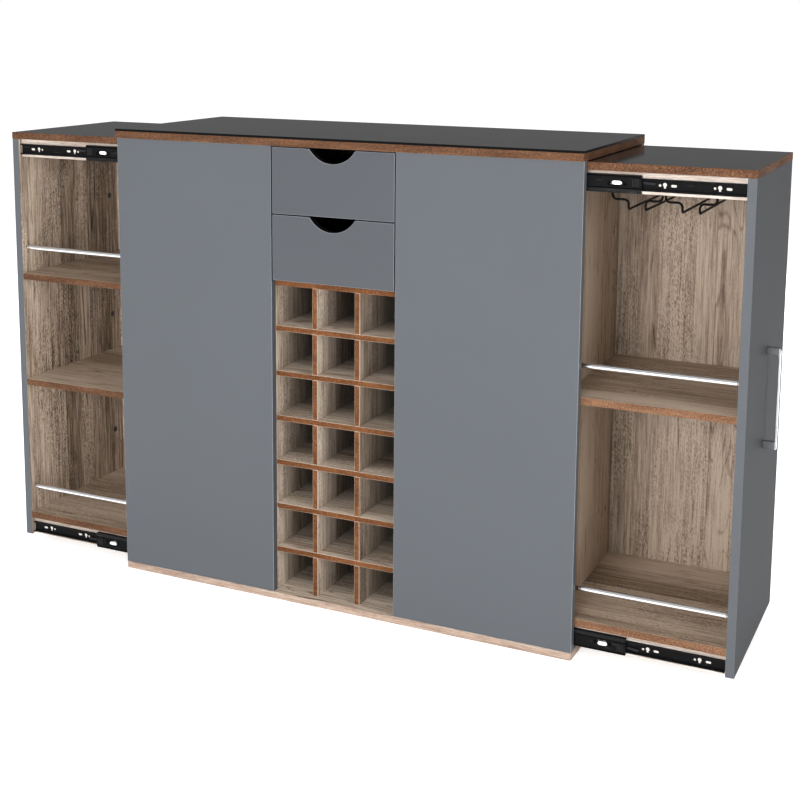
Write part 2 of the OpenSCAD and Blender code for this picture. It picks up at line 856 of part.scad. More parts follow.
at_left() shelf(bottom_top, board_t, left_tops);  // left_bottom_shelf
at_left() rail(slab_under - rail_h);  // left_top_rail
at_left() rail(pullout_lift);  // left_bottom_rail
at_left() gallery_rods([left_upper_z, bottom_top]);  // left_gallery_rods
at_left() handle();  // left_handle
at_left() inner_slides();  // left_inner_slides
at_left() fixings();  // left_fixings
at_left() pullout_dowels(left_tops);  // left_dowels
drawer_front(upper_front_z);  // upper_drawer_front
drawer_sides(upper_front_z);  // upper_drawer_sides
drawer_back(upper_front_z);  // upper_drawer_back
drawer_bottom(upper_front_z);  // upper_drawer_bottom
drawer_runners(upper_front_z);  // upper_drawer_runners
drawer_front(lower_front_z);  // lower_drawer_front
drawer_sides(lower_front_z);  // lower_drawer_sides
drawer_back(lower_front_z);  // lower_drawer_back
drawer_bottom(lower_front_z);  // lower_drawer_bottom
drawer_runners(lower_front_z);  // lower_drawer_runners
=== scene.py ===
# %% [markdown]
# # Bar cabinet with two pull-out side units
#
# The real cabinet is flat board work: a fixed body with a bottle rack and two drawers in the middle, and a
# shelf unit on telescopic slides at each side. A lesson on it is a lesson on edges and finishes, because nearly
# every surface is flat and it is the raw board edges, the printed oak and the small metal parts that make it
# look real.
#
# The measured solids come first. They are loaded as a fixed frame, in metres, and everything below is placed
# from their own boxes.

# %% Load the measured frame
import json
import math

import bmesh
import bpy
from mathutils import Matrix, Vector


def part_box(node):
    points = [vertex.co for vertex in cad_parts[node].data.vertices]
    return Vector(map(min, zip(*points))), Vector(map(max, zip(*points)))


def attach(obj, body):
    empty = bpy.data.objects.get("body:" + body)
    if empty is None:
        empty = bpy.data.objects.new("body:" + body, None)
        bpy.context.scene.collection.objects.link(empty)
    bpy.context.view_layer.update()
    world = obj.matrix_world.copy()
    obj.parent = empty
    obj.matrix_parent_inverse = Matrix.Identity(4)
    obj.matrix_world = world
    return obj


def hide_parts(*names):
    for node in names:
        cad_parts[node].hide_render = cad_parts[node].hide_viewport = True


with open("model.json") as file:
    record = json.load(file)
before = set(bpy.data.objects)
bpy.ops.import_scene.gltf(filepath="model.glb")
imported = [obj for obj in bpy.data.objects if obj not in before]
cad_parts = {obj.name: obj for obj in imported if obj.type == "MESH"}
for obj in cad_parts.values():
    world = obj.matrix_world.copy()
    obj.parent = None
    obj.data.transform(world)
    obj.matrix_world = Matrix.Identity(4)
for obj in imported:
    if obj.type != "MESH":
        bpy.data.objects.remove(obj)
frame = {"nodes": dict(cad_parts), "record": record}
nodes = frame["nodes"]
body_of = {node: body for body, members in frame["record"]["behaviour"]["bodies"].items() for node in members}
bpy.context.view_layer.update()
MM = 0.001

# %% [markdown]
# ## The camera
#
# The photograph is taken from a little above the top, 25 degrees to the right of straight ahead. The upright
# edges stay nearly parallel in it, as they do with a shift lens: the camera looks almost level, and its frame is
# slid down. Blender's cameras have the same slide, so the view is copied with a tilt of nine degrees and a shift.
# A larger shift would follow the uprights better, but views from other sides keep it and would lose part of the
# cabinet. The numbers come from lining up the edges of the solids with the edges in the photograph.

# %% Camera
FRAME_PX, SENSOR_MM = 800, 36
focal_px, centre_u, centre_v = 1357.7, 391.6, 230.0
turn, tilt, roll = (math.radians(a) for a in (25.142, 8.809, 0.359))
standpoint = Vector((1.3271, -2.7519, 1.2985))

forward = Vector((-math.sin(turn) * math.cos(tilt), math.cos(turn) * math.cos(tilt), -math.sin(tilt)))
level = Vector((math.cos(turn), math.sin(turn), 0))
above = level.cross(forward)
across = level * math.cos(roll) + above * math.sin(roll)
upward = above * math.cos(roll) - level * math.sin(roll)

camera = bpy.data.objects.new("camera", bpy.data.cameras.new("camera"))
bpy.context.scene.collection.objects.link(camera)
bpy.context.scene.camera = camera
camera.data.sensor_width = SENSOR_MM
camera.data.lens = focal_px * SENSOR_MM / FRAME_PX
camera.data.shift_x = (FRAME_PX / 2 - centre_u) / FRAME_PX
camera.data.shift_y = (centre_v - FRAME_PX / 2) / FRAME_PX
camera.data.clip_end = 200
camera.matrix_world = Matrix.Translation(standpoint) @ Matrix((across, upward, -forward)).transposed().to_4x4()
print("lens, mm:", round(camera.data.lens, 1), "shift:", camera.data.shift_x, camera.data.shift_y)

# %% [markdown]
# ## Shader maths in plain expressions
#
# A printed oak pattern is arithmetic on noises: this much of one, minus that much of another. Wiring each Math
# node by hand hides the arithmetic, so a small class holds a socket and gives it Python's operators. What is
# written below as `1 - pores * 0.4` builds the same nodes as wiring would. Colours go through Mix and Vector
# Math, since a Math node would turn them grey, and any other node comes from one function.

# %% Node helper and the Signal class
def add_node(tree, kind, settings=None, sockets=None):
    """Adds a node. Its settings are set first, then its sockets get values or links."""
    node = tree.nodes.new(kind)
    for name, value in (settings or {}).items():
        if name == "stops":
            ramp = node.color_ramp.elements
            while len(ramp) < len(value):
                ramp.new(0.5)
            for stop, (place, colour) in zip(ramp, value):
                stop.position = place
                stop.color = (*colour, 1)
        else:
            setattr(node, name, value)
    for name, value in (sockets or {}).items():
        if isinstance(value, Signal):
            value = value.socket
        if isinstance(value, bpy.types.NodeSocket):
            tree.links.new(value, node.inputs[name])
        else:
            node.inputs[name].default_value = value
    return node


class Signal:
    """A socket in a tree, with the operators of plain arithmetic."""

    def __init__(self, tree, socket):
        self.tree = tree
        self.socket = socket

    def maths(self, operation, first, second=0.0):
        node = add_node(self.tree, "ShaderNodeMath", {"operation": operation}, {0: first, 1: second})
        return Signal(self.tree, node.outputs[0])

    def __add__(self, other):
        return self.maths("ADD", self, other)

    def __radd__(self, other):
        return self.maths("ADD", other, self)

    def __sub__(self, other):
        return self.maths("SUBTRACT", self, other)

    def __rsub__(self, other):
        return self.maths("SUBTRACT", other, self)

    def __mul__(self, other):
        return self.maths("MULTIPLY", self, other)

    def maths_of_one(self, operation):
        """FLOOR, SINE and the like, which take one value."""
        return self.maths(operation, self)

    def __abs__(self):
        return self.maths("ABSOLUTE", self)

    def above(self, start, end):
        """0 below start, 1 above end, and a smooth slope between. With start past end it falls."""
        node = add_node(self.tree, "ShaderNodeMapRange", {"interpolation_type": "SMOOTHSTEP"},
                        {"Value": self, "From Min": start, "From Max": end})
        return Signal(self.tree, node.outputs[0])

    def mix(self, low, high):
        """The colour low where the signal is 0, and high where it is 1."""
        node = add_node(self.tree, "ShaderNodeMix", {"data_type": "RGBA"},
                        {"Factor": self, 6: low, 7: high})
        return Signal(self.tree, node.outputs[2])

    def times_colour(self, colour):
        plain = colour if isinstance(colour, Signal) else tuple(colour[:3])
        node = add_node(self.tree, "ShaderNodeVectorMath", {"operation": "SCALE"}, {0: plain, "Scale": self})
        return Signal(self.tree, node.outputs[0])


def srgb(red, green, blue):
    """A colour given as 0 to 255 in a picture, turned into the linear numbers that nodes want."""
    def linear(value):
        value = value / 255
        return value / 12.92 if value <= 0.04045 else ((value + 0.055) / 1.055) ** 2.4
    return linear(red), linear(green), linear(blue), 1.0


print("mid grey as a node wants it:", [round(c, 3) for c in srgb(128, 128, 128)])

# %% [markdown]
# ## Light
# The end panels' outer faces also take a darker grey, a painted shade.
#
# A catalogue picture is lit evenly, with the sheet behind and under the furniture burnt out to white. A white
# world does most of that. The strongest lamp stands in front and gives the fronts their light, and the end panel
# on the right has only a weak one at its side, so that it comes out darker. One lamp lights the rear, and one
# hangs over the sheet. None of them shows in mirrors. The tops are glossy and black, and in the photograph they
# mirror a dark room beyond the white sheet, while the rods mirror a white one in front. So the world is white to
# the eye and as a light, and in mirrors it is dim except towards the front.
#
# The plain display transform is used, because the filmic one would turn white paper grey.

# %% Lamps and world
scene = bpy.context.scene
scene.view_settings.view_transform = "Standard"

world = bpy.data.worlds.new("white studio")
world.use_nodes = True
room = world.node_tree
room.nodes["Background"].inputs["Color"].default_value = (1, 1, 1, 1)
SEEN, AS_LIGHT, DIM_MIRROR, FRONT_MIRROR = 1.0, 0.7, 0.15, 0.55
FULL_FRONT = -0.45
ray = add_node(room, "ShaderNodeLightPath")
is_seen, is_mirrored = (Signal(room, ray.outputs[name]) for name in ("Is Camera Ray", "Is Glossy Ray"))
heading = add_node(room, "ShaderNodeSeparateXYZ", {}, {0: add_node(room, "ShaderNodeTexCoord").outputs["Generated"]})
to_front = Signal(room, heading.outputs["Y"]).above(0.0, FULL_FRONT)
in_mirrors = to_front * (FRONT_MIRROR - DIM_MIRROR) + DIM_MIRROR
strength = is_seen * (SEEN - AS_LIGHT) + is_mirrored * (in_mirrors - AS_LIGHT) + AS_LIGHT
room.links.new(strength.socket, room.nodes["Background"].inputs["Strength"])
scene.world = world


def soft_lamp(name, place, target, size, watts):
    lamp = bpy.data.objects.new(name, bpy.data.lights.new(name, "AREA"))
    lamp.data.shape = "DISK"
    lamp.data.size = size
    lamp.data.energy = watts
    lamp.location = place
    lamp.rotation_euler = (Vector(target) - Vector(place)).to_track_quat("-Z", "Y").to_euler()
    lamp.visible_glossy = False
    scene.collection.objects.link(lamp)


soft_lamp("front lamp", (0.5, -4.7, 1.35), (0.1, 0, 0.5), 2.2, 270)
soft_lamp("side lamp", (4.2, -1.6, 1.8), (0.4, 0, 0.55), 2.2, 75)
soft_lamp("back lamp", (-0.8, 4.4, 1.3), (0, 0.3, 0.5), 1.8, 120)
soft_lamp("sheet lamp", (-0.4, 1.2, 4.2), (0.0, 0.4, 0), 5.0, 60)

# %% [markdown]
# ## A finish
#
# Every finish below starts the same way: a material with one Principled shader, read on Object coordinates so
# that the pattern stays put on the piece, and stretched along the grain where it has one. The Finish class keeps
# those steps in one place. Numbers that are the same all over the surface go straight on the shader's sockets.

# %% The Finish class
class Finish:
    """One material while it is being written."""

    def __init__(self, name, **constants):
        self.material = bpy.data.materials.new(name)
        self.material.use_nodes = True
        self.tree = self.material.node_tree
        self.shader = self.tree.nodes["Principled BSDF"]
        for socket, value in constants.items():
            self.shader.inputs[socket.replace("_", " ")].default_value = value
        self.coordinates = add_node(self.tree, "ShaderNodeTexCoord").outputs["Object"]

    def add(self, kind, settings=None, sockets=None, out=0):
        return Signal(self.tree, add_node(self.tree, kind, settings, sockets).outputs[out])

    def spread(self, scale, turn=(0, 0, 0), shift=(0, 0, 0)):
        """Object coordinates, turned, then stretched: a big number packs the pattern tight along that axis."""
        turned = self.add("ShaderNodeMapping", {}, {"Vector": self.coordinates, "Rotation": turn,
                                                    "Location": shift})
        return self.add("ShaderNodeMapping", {}, {"Vector": turned, "Scale": scale})

    def noise(self, scale, detail=3.0, rough=0.5, turn=(0, 0, 0), shift=(0, 0, 0), bend=0.0):
        """A noise of the given size, in patterns per metre along each axis."""
        return self.add("ShaderNodeTexNoise", {}, {"Vector": self.spread(scale, turn, shift), "Scale": 1.0,
                                                   "Detail": detail, "Roughness": rough, "Distortion": bend})

    def along(self, axis):
        parts = add_node(self.tree, "ShaderNodeSeparateXYZ", {}, {0: self.coordinates})
        return Signal(self.tree, parts.outputs[axis])

    def feed(self, **links):
        for socket, signal in links.items():
            self.tree.links.new(signal.socket, self.shader.inputs[socket.replace("_", " ")])
        return self

    def relief(self, height, depth, strength=1.0):
        """Bumps the surface: depth is in metres for a height from 0 to 1."""
        bump = self.add("ShaderNodeBump", {}, {"Height": height, "Distance": depth, "Strength": strength})
        self.feed(Normal=bump)
        return self


print("a finish starts with:", list(Finish("trial").tree.nodes.keys()))
bpy.data.materials.remove(bpy.data.materials["trial"])

# %% [markdown]
# ## Printed oak
#
# The shelves, the inner sides and the rack are covered in a printed oak: grey-brown, with broad lighter and
# darker bands, fine stretched fibres, dark pores, and the short slanted scratches of a saw. Wood grain is a noise
# that is stretched a hundred times longer one way than the other. The bands are the same noise in a larger
# size, and the saw marks are a noise turned a little off the grain, kept only where a slow noise lets them
# through, so that they come in patches as in the print.
#
# The print imitates planks of uneven width. Each has its own shade, and a draw decides whether it is sawn or
# figured: a figured one shows arches, which are the sine of a slow noise.
#
# The grain runs upright on panels and sideways on shelves, so the finish is a function of the grain's axis.
# In the rack the colour darkens from the front of the slots inwards: a painted shade.

# %% Oak finish
def oak_scale(grain, across, along):
    """Packs a pattern tight across the grain and loose along it. Grain is 0, 1 or 2 for X, Y or Z."""
    return tuple(along if axis == grain else across for axis in range(3))


PLANK = 0.078
LIFT = 0.045


def oak_finish(name, grain, dark, middle, light, seed=0.0, shaded=None):
    oak = Finish(name, Roughness=0.5, Specular_IOR_Level=0.3)
    sideways = [oak.along(axis) for axis in range(3) if axis != grain]
    inwards = oak.along(1)
    lie = sideways[0] + sideways[1]
    uneven = (lie * (math.tau / (2.7 * PLANK)) + seed * 5).maths_of_one("SINE") * 0.36
    counted = lie * (1 / PLANK) + uneven + seed * 9
    plank = counted.maths_of_one("FLOOR")
    seam = (counted - plank).above(0.0, 0.05)
    sawn = oak.add("ShaderNodeTexWhiteNoise", {"noise_dimensions": "1D"}, {"W": plank + 0.41})
    luck = oak.add("ShaderNodeTexWhiteNoise", {"noise_dimensions": "1D"}, {"W": plank})
    jump = oak.add("ShaderNodeVectorMath", {"operation": "SCALE"},
                   {0: oak.add("ShaderNodeTexWhiteNoise", {"noise_dimensions": "1D"}, {"W": plank}, out=1),
                    "Scale": 3.0})
    oak.coordinates = oak.add("ShaderNodeVectorMath", {"operation": "ADD"}, {0: oak.coordinates, 1: jump}).socket
    shift = (seed, 0.7 * seed, 1.3 * seed)
    bands = oak.noise(oak_scale(grain, 13, 1.1), 2.0, 0.5, shift=shift, bend=0.5)
    swirls = oak.noise(oak_scale(grain, 15, 1.9), 1.0, 0.4, shift=shift, bend=0.9)
    fibres = oak.noise(oak_scale(grain, 340, 14), 4.0, 0.65, shift=shift)
    streaks = oak.noise(oak_scale(grain, 150, 4), 2.0, 0.5, shift=shift)
    slant = tuple(math.radians(a) for a in ((0, 13, 13), (13, 0, 13), (13, 13, 0))[grain])
    flecks = oak.noise(oak_scale(grain, 560, 66), 2.0, 0.5, turn=slant, shift=shift)
    patches = oak.noise(oak_scale(grain, 9, 4), 1.0, 0.4, shift=shift)
    cracks = oak.noise(oak_scale(grain, 60, 5), 1.0, 0.3, shift=shift, bend=1.2)

    arches = abs((swirls * 34).maths_of_one("SINE")).above(0.0, 0.45)
    tone = bands.above(0.3, 0.7) * 0.20 + streaks.above(0.3, 0.7) * 0.22
    figured = (1 - sawn).above(0.45, 0.75)
    tone = tone + fibres.above(0.35, 0.65) * 0.28 + arches * (0.05 + figured * 0.20) + luck * 0.24 + seam * 0.07
    speckle = (flecks.above(0.36, 0.62) - 0.5) * (0.08 + patches.above(0.42, 0.62) * sawn * 0.36)
    tone = tone + speckle - cracks.above(0.68, 0.76) * 0.30 + LIFT
    colour = oak.add("ShaderNodeValToRGB", {"stops": [(0.08, dark[:3]), (0.5, middle[:3]), (0.92, light[:3])]},
                     {"Fac": tone})
    # Painted shade: with shaded given, the colour darkens along Y across that span, from the front of the rack's
    # slots inwards.
    if shaded is not None:
        deep = inwards.above(*shaded)
        colour = (1.15 - deep * 0.93).times_colour(colour)
    rough = 0.62 - tone * 0.14
    oak.feed(Base_Color=colour, Roughness=rough)
    oak.relief(tone, 0.00025, 0.3)
    return oak.material


oak_tones = (srgb(59, 46, 35), srgb(129, 111, 94), srgb(176, 158, 140))
oak_upright = oak_finish("oak upright", 2, *oak_tones)
oak_sideways = oak_finish("oak sideways", 0, srgb(61, 48, 37), srgb(134, 116, 98), srgb(182, 164, 146), seed=0.37)
oak_back = oak_finish("oak back upright", 2, srgb(44, 34, 27), srgb(104, 88, 75), srgb(151, 136, 121), seed=0.52)
oak_deep = oak_finish("oak back deep", 2, srgb(20, 14, 10), srgb(103, 87, 74), srgb(180, 163, 146), seed=0.52)
oak_left = oak_finish("oak left upright", 2, srgb(22, 16, 11), srgb(110, 93, 78), srgb(195, 177, 159))
# The rack's oak gets a painted shade, darker from the rack's front to 16 cm inside it.
slot_shade = (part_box("rack_shelf_1")[0].y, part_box("rack_shelf_1")[0].y + 0.16)
rack_tones = (srgb(62, 50, 40), srgb(138, 122, 107), srgb(196, 182, 167))
rack_upright_painted_shade = oak_finish("rack oak upright, painted shade", 2, *rack_tones, seed=0.71, shaded=slot_shade)
rack_sideways_painted_shade = oak_finish("rack oak sideways, painted shade", 0, *rack_tones, seed=0.19, shaded=slot_shade)
print("oak finishes:", [m.name for m in bpy.data.materials if m.name.startswith("oak")])

# %% [markdown]
# ## Raw edges of fibreboard
#
# The front edges aren't covered: they show the pressed fibres of the board itself, red-brown, with light and
# dark specks of about half a millimetre. A fine noise with little detail gives the specks, and a slower one the
# burnished stretches that a saw blade leaves. The bottle rack is cut from a redder board than the tops, and the
# shelves of the right unit from a lighter one.

# %% Raw fibreboard
def raw_board(name, dark, middle, light):
    raw = Finish(name, Roughness=0.75, Specular_IOR_Level=0.15)
    specks = raw.noise((620, 620, 620), 3.0, 0.65)
    clumps = raw.noise((300, 300, 300), 2.0, 0.5)
    runs = raw.noise((9, 9, 60), 2.0, 0.5)
    tone = specks.above(0.36, 0.64) * 0.52 + clumps.above(0.3, 0.7) * 0.28 + runs.above(0.3, 0.7) * 0.20
    colour = raw.add("ShaderNodeValToRGB", {"stops": [(0.1, dark[:3]), (0.5, middle[:3]), (0.9, light[:3])]},
                     {"Fac": tone})
    raw.feed(Base_Color=colour, Roughness=0.86 - tone * 0.12)
    raw.relief(specks, 0.0003, 0.5)
    return raw.material


raw_brown = raw_board("raw brown board", srgb(44, 28, 19), srgb(76, 51, 35), srgb(110, 79, 58))
raw_light = raw_board("raw light board", srgb(62, 41, 28), srgb(98, 69, 50), srgb(132, 99, 76))
raw_red = raw_board("raw red board", srgb(50, 28, 14), srgb(86, 52, 29), srgb(120, 79, 49))
print("raw boards:", raw_brown.name, raw_light.name, raw_red.name)

# %% [markdown]
# ## Pale board
#
# The base and the rails behind the slides are pale and pinkish, the rails paler still, with a fine short grain: a
# lighter print of the same kind of wood. It is the oak recipe with less contrast, and the dowels use it too.

# %% Pale board
def pale_finish(name, grain, dark, middle, light):
    pale = Finish(name, Roughness=0.55, Specular_IOR_Level=0.3)
    fibres = pale.noise(oak_scale(grain, 700, 22), 3.0, 0.6)
    bands = pale.noise(oak_scale(grain, 60, 4), 2.0, 0.5)
    dashes = pale.noise(oak_scale(grain, 500, 90), 1.0, 0.4)
    tone = fibres.above(0.3, 0.7) * 0.5 + bands.above(0.3, 0.7) * 0.35 + dashes.above(0.35, 0.6) * 0.15
    colour = pale.add("ShaderNodeValToRGB", {"stops": [(0.05, dark[:3]), (0.5, middle[:3]), (0.95, light[:3])]},
                      {"Fac": tone})
    pale.feed(Base_Color=colour, Roughness=0.62 - tone * 0.1)
    pale.relief(fibres, 0.0002, 0.3)
    return pale.material


pale_tones = (srgb(106, 86, 73), srgb(137, 117, 103), srgb(169, 151, 137))
pale_sideways = pale_finish("pale board sideways", 0, *pale_tones)
pale_end = pale_finish("pale board end", 1, *pale_tones)
pale_rail = pale_finish("pale rail", 0, srgb(128, 114, 104), srgb(164, 152, 142), srgb(200, 190, 181))
print("pale boards:", pale_sideways.name, pale_end.name)

# %% [markdown]
# ## Grey coated board
#
# The fronts and ends are coated in an even, faintly bluish grey with a fine orange-peel texture. A flat colour
# would look like plastic sheet, so a slow noise moves the colour by two or three percent and a fine one breaks
# the highlight. The thin line where the edge band meets the face has its own, much lighter grey: a painted
# highlight. The outer faces of the ends and of the pull-outs' backs take a darker copy of the grey, a painted shade.

# %% Grey finishes
def grey_finish(name, colour, rough, shine=0.25):
    grey = Finish(name, Roughness=rough, Specular_IOR_Level=shine)
    cloud = grey.noise((3, 3, 3), 3.0, 0.5)
    peel = grey.noise((520, 520, 520), 2.0, 0.5)
    drift = cloud * 0.08 + peel * 0.12 + 0.90
    grey.feed(Base_Color=drift.times_colour(colour), Roughness=rough + (peel - 0.5) * 0.2)
    grey.relief(peel, 0.00012, 0.25)
    return grey.material


grey_front = grey_finish("grey front", srgb(72, 75, 79), 0.45)
# Painted shade: a darker copy of the grey for the outer faces of the ends and backs.
grey_side_painted_shade = grey_finish("grey end, painted shade", srgb(62, 63, 65), 0.6, shine=0.04)
grey_drawer = grey_finish("grey drawer front", srgb(65, 67, 71), 0.45)
# Painted highlight: a much lighter grey on the broken edges, where the light catches them.
grey_edge_highlight = grey_finish("grey edge line, painted highlight", srgb(122, 127, 132), 0.4)
# Painted highlight: a pale line on the broken edges of the rack's boards.
pale_edge_highlight = grey_finish("pale edge line, painted highlight", srgb(176, 163, 148), 0.5, shine=0.1)
top_grey = grey_finish("dark grey gloss top", srgb(30, 30, 31), 0.08, shine=0.8)
print("greys:", grey_front.name, grey_side_painted_shade.name, grey_edge_highlight.name, top_grey.name)

# %% [markdown]
# ## Glass, metals and plastics
#
# The glass on the top is black on its underside, so it is a dark gloss with faint wiping marks in its
# roughness. The slides are black-coated steel with dull bright rubs, the rods are chromed, and the handles are
# brushed along their length, which is a noise stretched along Z in the roughness and the relief.

# %% Glass, metals and plastics
def glass_finish(name, colour):
    glass = Finish(name, Roughness=0.1, Specular_IOR_Level=0.5)
    wipes = glass.noise((3, 14, 3), 4.0, 0.6, turn=(0, 0, 0.5))
    dust = glass.noise((700, 700, 700), 1.0, 0.5)
    glass.feed(Base_Color=(0.92 + wipes * 0.16).times_colour(colour),
               Roughness=0.04 + wipes.above(0.3, 0.8) * 0.08 + dust.above(0.7, 0.8) * 0.04)
    return glass.material


WORN = (0.3, 0.3, 0.3, 1.0)


def metal_finish(name, colour, rough, grain=None, metal=1.0, wear=0.0, shine=0.5, relief=0.25, grazing=1.0):
    steel = Finish(name, Roughness=rough, Metallic=metal, Specular_IOR_Level=shine,
                   Specular_Tint=(grazing, grazing, grazing, 1.0))
    across = (500, 500, 500) if grain is None else oak_scale(grain, 900, 8)
    brush = steel.noise(across, 3.0, 0.6)
    cloud = steel.noise((30, 30, 30), 2.0, 0.5)
    shade = 0.9 + brush * 0.12 + cloud * 0.08
    base = shade.times_colour(colour)
    if wear:
        rubs = steel.noise(oak_scale(0, 260, 30), 2.0, 0.6).above(0.62, 0.75) * wear
        base = rubs.mix(base, WORN)
    steel.feed(Base_Color=base, Roughness=rough + (brush - 0.5) * 0.25 + (cloud - 0.5) * 0.1)
    steel.relief(brush, 0.0001, relief)
    return steel.material


glass_face = glass_finish("black glass face", srgb(30, 30, 31))
glass_edge = metal_finish("black glass edge", srgb(10, 10, 10), 0.4, None, metal=0.0, shine=0.05)
black_steel = metal_finish("black coated steel", srgb(14, 14, 15), 0.4, 0, metal=0.0, wear=0.05, shine=0.05)
black_wire = metal_finish("black coated wire", srgb(7, 7, 8), 0.4, None, metal=0.0, wear=0.05, shine=0.1)
# Painted highlight: a lighter grey for the slides' broken edges.
edge_highlight_steel = metal_finish("black edge, painted highlight", srgb(62, 62, 64), 0.35, None, metal=0.0, shine=0.3)
# Painted shade: this black is used only for the discs that stand for the dark holes of the slides.
painted_hole_shade = metal_finish("black plastic", srgb(5, 5, 5), 0.5, None, metal=0.0, shine=0.05)
grey_plastic = metal_finish("worn black plastic", srgb(34, 34, 35), 0.45, None, metal=0.0, shine=0.1)
zinc = metal_finish("zinc plated steel", srgb(128, 129, 131), 0.42, None)
# Painted shade: the cams' zinc is darkened for the shade in their holes.
cam_zinc_painted_shade = metal_finish("cam zinc, painted shade", srgb(62, 61, 60), 0.45, None, metal=0.6)
chrome = metal_finish("chrome rod", srgb(238, 238, 240), 0.16, 0, relief=0.02)
handle_steel = metal_finish("brushed handle steel", srgb(214, 215, 217), 0.25, 2)
handle_foot_painted_dark = metal_finish("handle foot steel, painted dark reflection", srgb(108, 110, 113), 0.3, 0, metal=0.7, relief=0.1)
lip_wear_and_sheen = metal_finish("rolled lip steel, wear and painted sheen", srgb(19, 19, 20), 0.35, 0, metal=0.0, wear=0.1, shine=0.12)
groove_painted_shade = metal_finish("groove, painted shade", srgb(3, 3, 3), 0.5, 0, metal=0.0, shine=0.02)
handle_outer_painted_dark = metal_finish("handle outer steel, painted dark reflection", srgb(120, 121, 124), 0.3, 2, relief=0.1, grazing=0.2)
white_plastic = metal_finish("white plastic", srgb(226, 226, 224), 0.45, None, metal=0.0)
paler_rail_patch = metal_finish("rail made paler behind keyholes", srgb(190, 184, 178), 0.6, None, metal=0.0, shine=0.1)
# Painted shade: a near-black board for the drawer boxes, the hidden faces of the drawer fronts and the edges beside
# the drawers.
painted_shade_board = grey_finish("drawer board, painted shade", srgb(15, 15, 16), 0.6, shine=0.1)
beech = pale_finish("beech dowel", 0, *pale_tones)

print("materials so far:", len(bpy.data.materials))

# %% [markdown]
# ## Dressing a board
#
# A board is one solid in the measured frame: a block with its dowel holes and slots. On the real one the two
# faces are coated, the edges are raw or banded, and the long corners are broken by half a millimetre, which is
# what catches the light. So each board is copied, its loose triangles are joined up, every face takes its finish
# from the way it looks, and only the long edges are bevelled. The holes keep their sharp rims, and nothing
# grows, because a bevel only takes away.

# %% The dress function
DIRECTIONS = {"right": (0, 1), "left": (0, -1), "back": (1, 1), "front": (1, -1), "top": (2, 1), "bottom": (2, -1)}
FACING, SQUARE_ON = 0.7, 0.9
FLAT, SHARP = math.radians(1), math.radians(40)


def make_whole(mesh, merge):
    """Joins a mesh's loose triangles and makes its flat faces whole."""
    bmesh.ops.remove_doubles(mesh, verts=mesh.verts, dist=merge)
    bmesh.ops.dissolve_limit(mesh, angle_limit=FLAT, verts=mesh.verts, edges=mesh.edges)


def break_edges(mesh, broken, material, shortest=0.0):
    """Bevels the sharp edges that are longer than the shortest. Both lengths are in millimetres."""
    long_edges = [e for e in mesh.edges if e.is_manifold and e.calc_length() > shortest * MM
                  and e.calc_face_angle(0) > SHARP]
    bmesh.ops.bevel(mesh, geom=long_edges, offset=broken * MM, segments=2, profile=0.5, affect="EDGES",
                    clamp_overlap=True, material=material)


def keep(mesh, name, finishes, body):
    """Turns an edit mesh into a piece on a body."""
    data = bpy.data.meshes.new(name)
    mesh.to_mesh(data)
    mesh.free()
    for finish in finishes:
        data.materials.append(finish)
    piece = bpy.data.objects.new(name, data)
    scene.collection.objects.link(piece)
    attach(piece, body)
    return piece


def dress(node, finishes, broken=0.6, shortest=9.0, line=None):
    """Dresses a board. finishes gives the finish of each side, and the one under "rest" covers the others."""
    palette = list(dict.fromkeys(finishes.values()))
    if line is not None:
        palette.append(line)
    mesh = bmesh.new()
    mesh.from_mesh(nodes[node].data)
    make_whole(mesh, 1e-5)
    for face in mesh.faces:
        face.material_index = palette.index(finishes["rest"])
        for side, (axis, sign) in DIRECTIONS.items():
            if side in finishes and face.normal[axis] * sign > FACING:
                face.material_index = palette.index(finishes[side])
    break_edges(mesh, broken, -1 if line is None else len(palette) - 1, shortest)
    piece = keep(mesh, node + "_board", palette, body_of[node])
    for polygon in piece.data.polygons:
        polygon.use_smooth = False
    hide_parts(node)
    return piece


def score(piece, lines):
    """Cuts a piece's faces along planes, each an axis and a place, so that a part of a face has its own finish."""
    mesh = bmesh.new()
    mesh.from_mesh(piece.data)
    for axis, place in lines:
        direction = Vector([float(i == axis) for i in range(3)])
        bmesh.ops.bisect_plane(mesh, geom=mesh.verts[:] + mesh.edges[:] + mesh.faces[:],
                               plane_co=direction * place, plane_no=direction)
    mesh.to_mesh(piece.data)
    mesh.free()


print("boards are dressed with", len(DIRECTIONS), "sides")

# %% [markdown]
# ## The fixed body
#
# Two grey fronts, a rear panel with grey outside and oak inside, two oak partitions, a pale base and a brown top
# under its glass. The grain is upright on standing boards. The edges beside the drawers are painted black, a
# painted shade, so that the gap there is dark. The oak in the rack darkens towards the back, also a painted shade.

# %% Body boards
drawer_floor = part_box("drawer_shelf")[1].z
for node in ("left_front_panel", "right_front_panel"):
    panel = dress(node, {"rest": grey_front, "back": oak_upright}, line=grey_edge_highlight)
    # Painted shade: the edges that face the drawers, above the drawer shelf, take the near-black board.
    score(panel, [(2, drawer_floor)])
    panel.data.materials.append(painted_shade_board)
    for polygon in panel.data.polygons:
        inward = polygon.normal.x * polygon.center.x < 0
        if polygon.center.z > drawer_floor and abs(polygon.normal.x) > SQUARE_ON and inward:
            polygon.material_index = len(panel.data.materials) - 1
dress("rear_panel", {"rest": grey_front, "front": rack_upright_painted_shade})
for node in ("left_partition", "right_partition"):
    dress(node, {"rest": rack_upright_painted_shade})
dress("base_board", {"rest": pale_sideways, "left": pale_end, "right": pale_end, "top": rack_sideways_painted_shade}, shortest=0.7)
dress("top_board", {"rest": raw_brown, "bottom": oak_sideways})
dress("top_glass", {"rest": glass_edge, "top": glass_face}, broken=0.8)
dress("drawer_shelf", {"rest": rack_sideways_painted_shade, "front": raw_red})
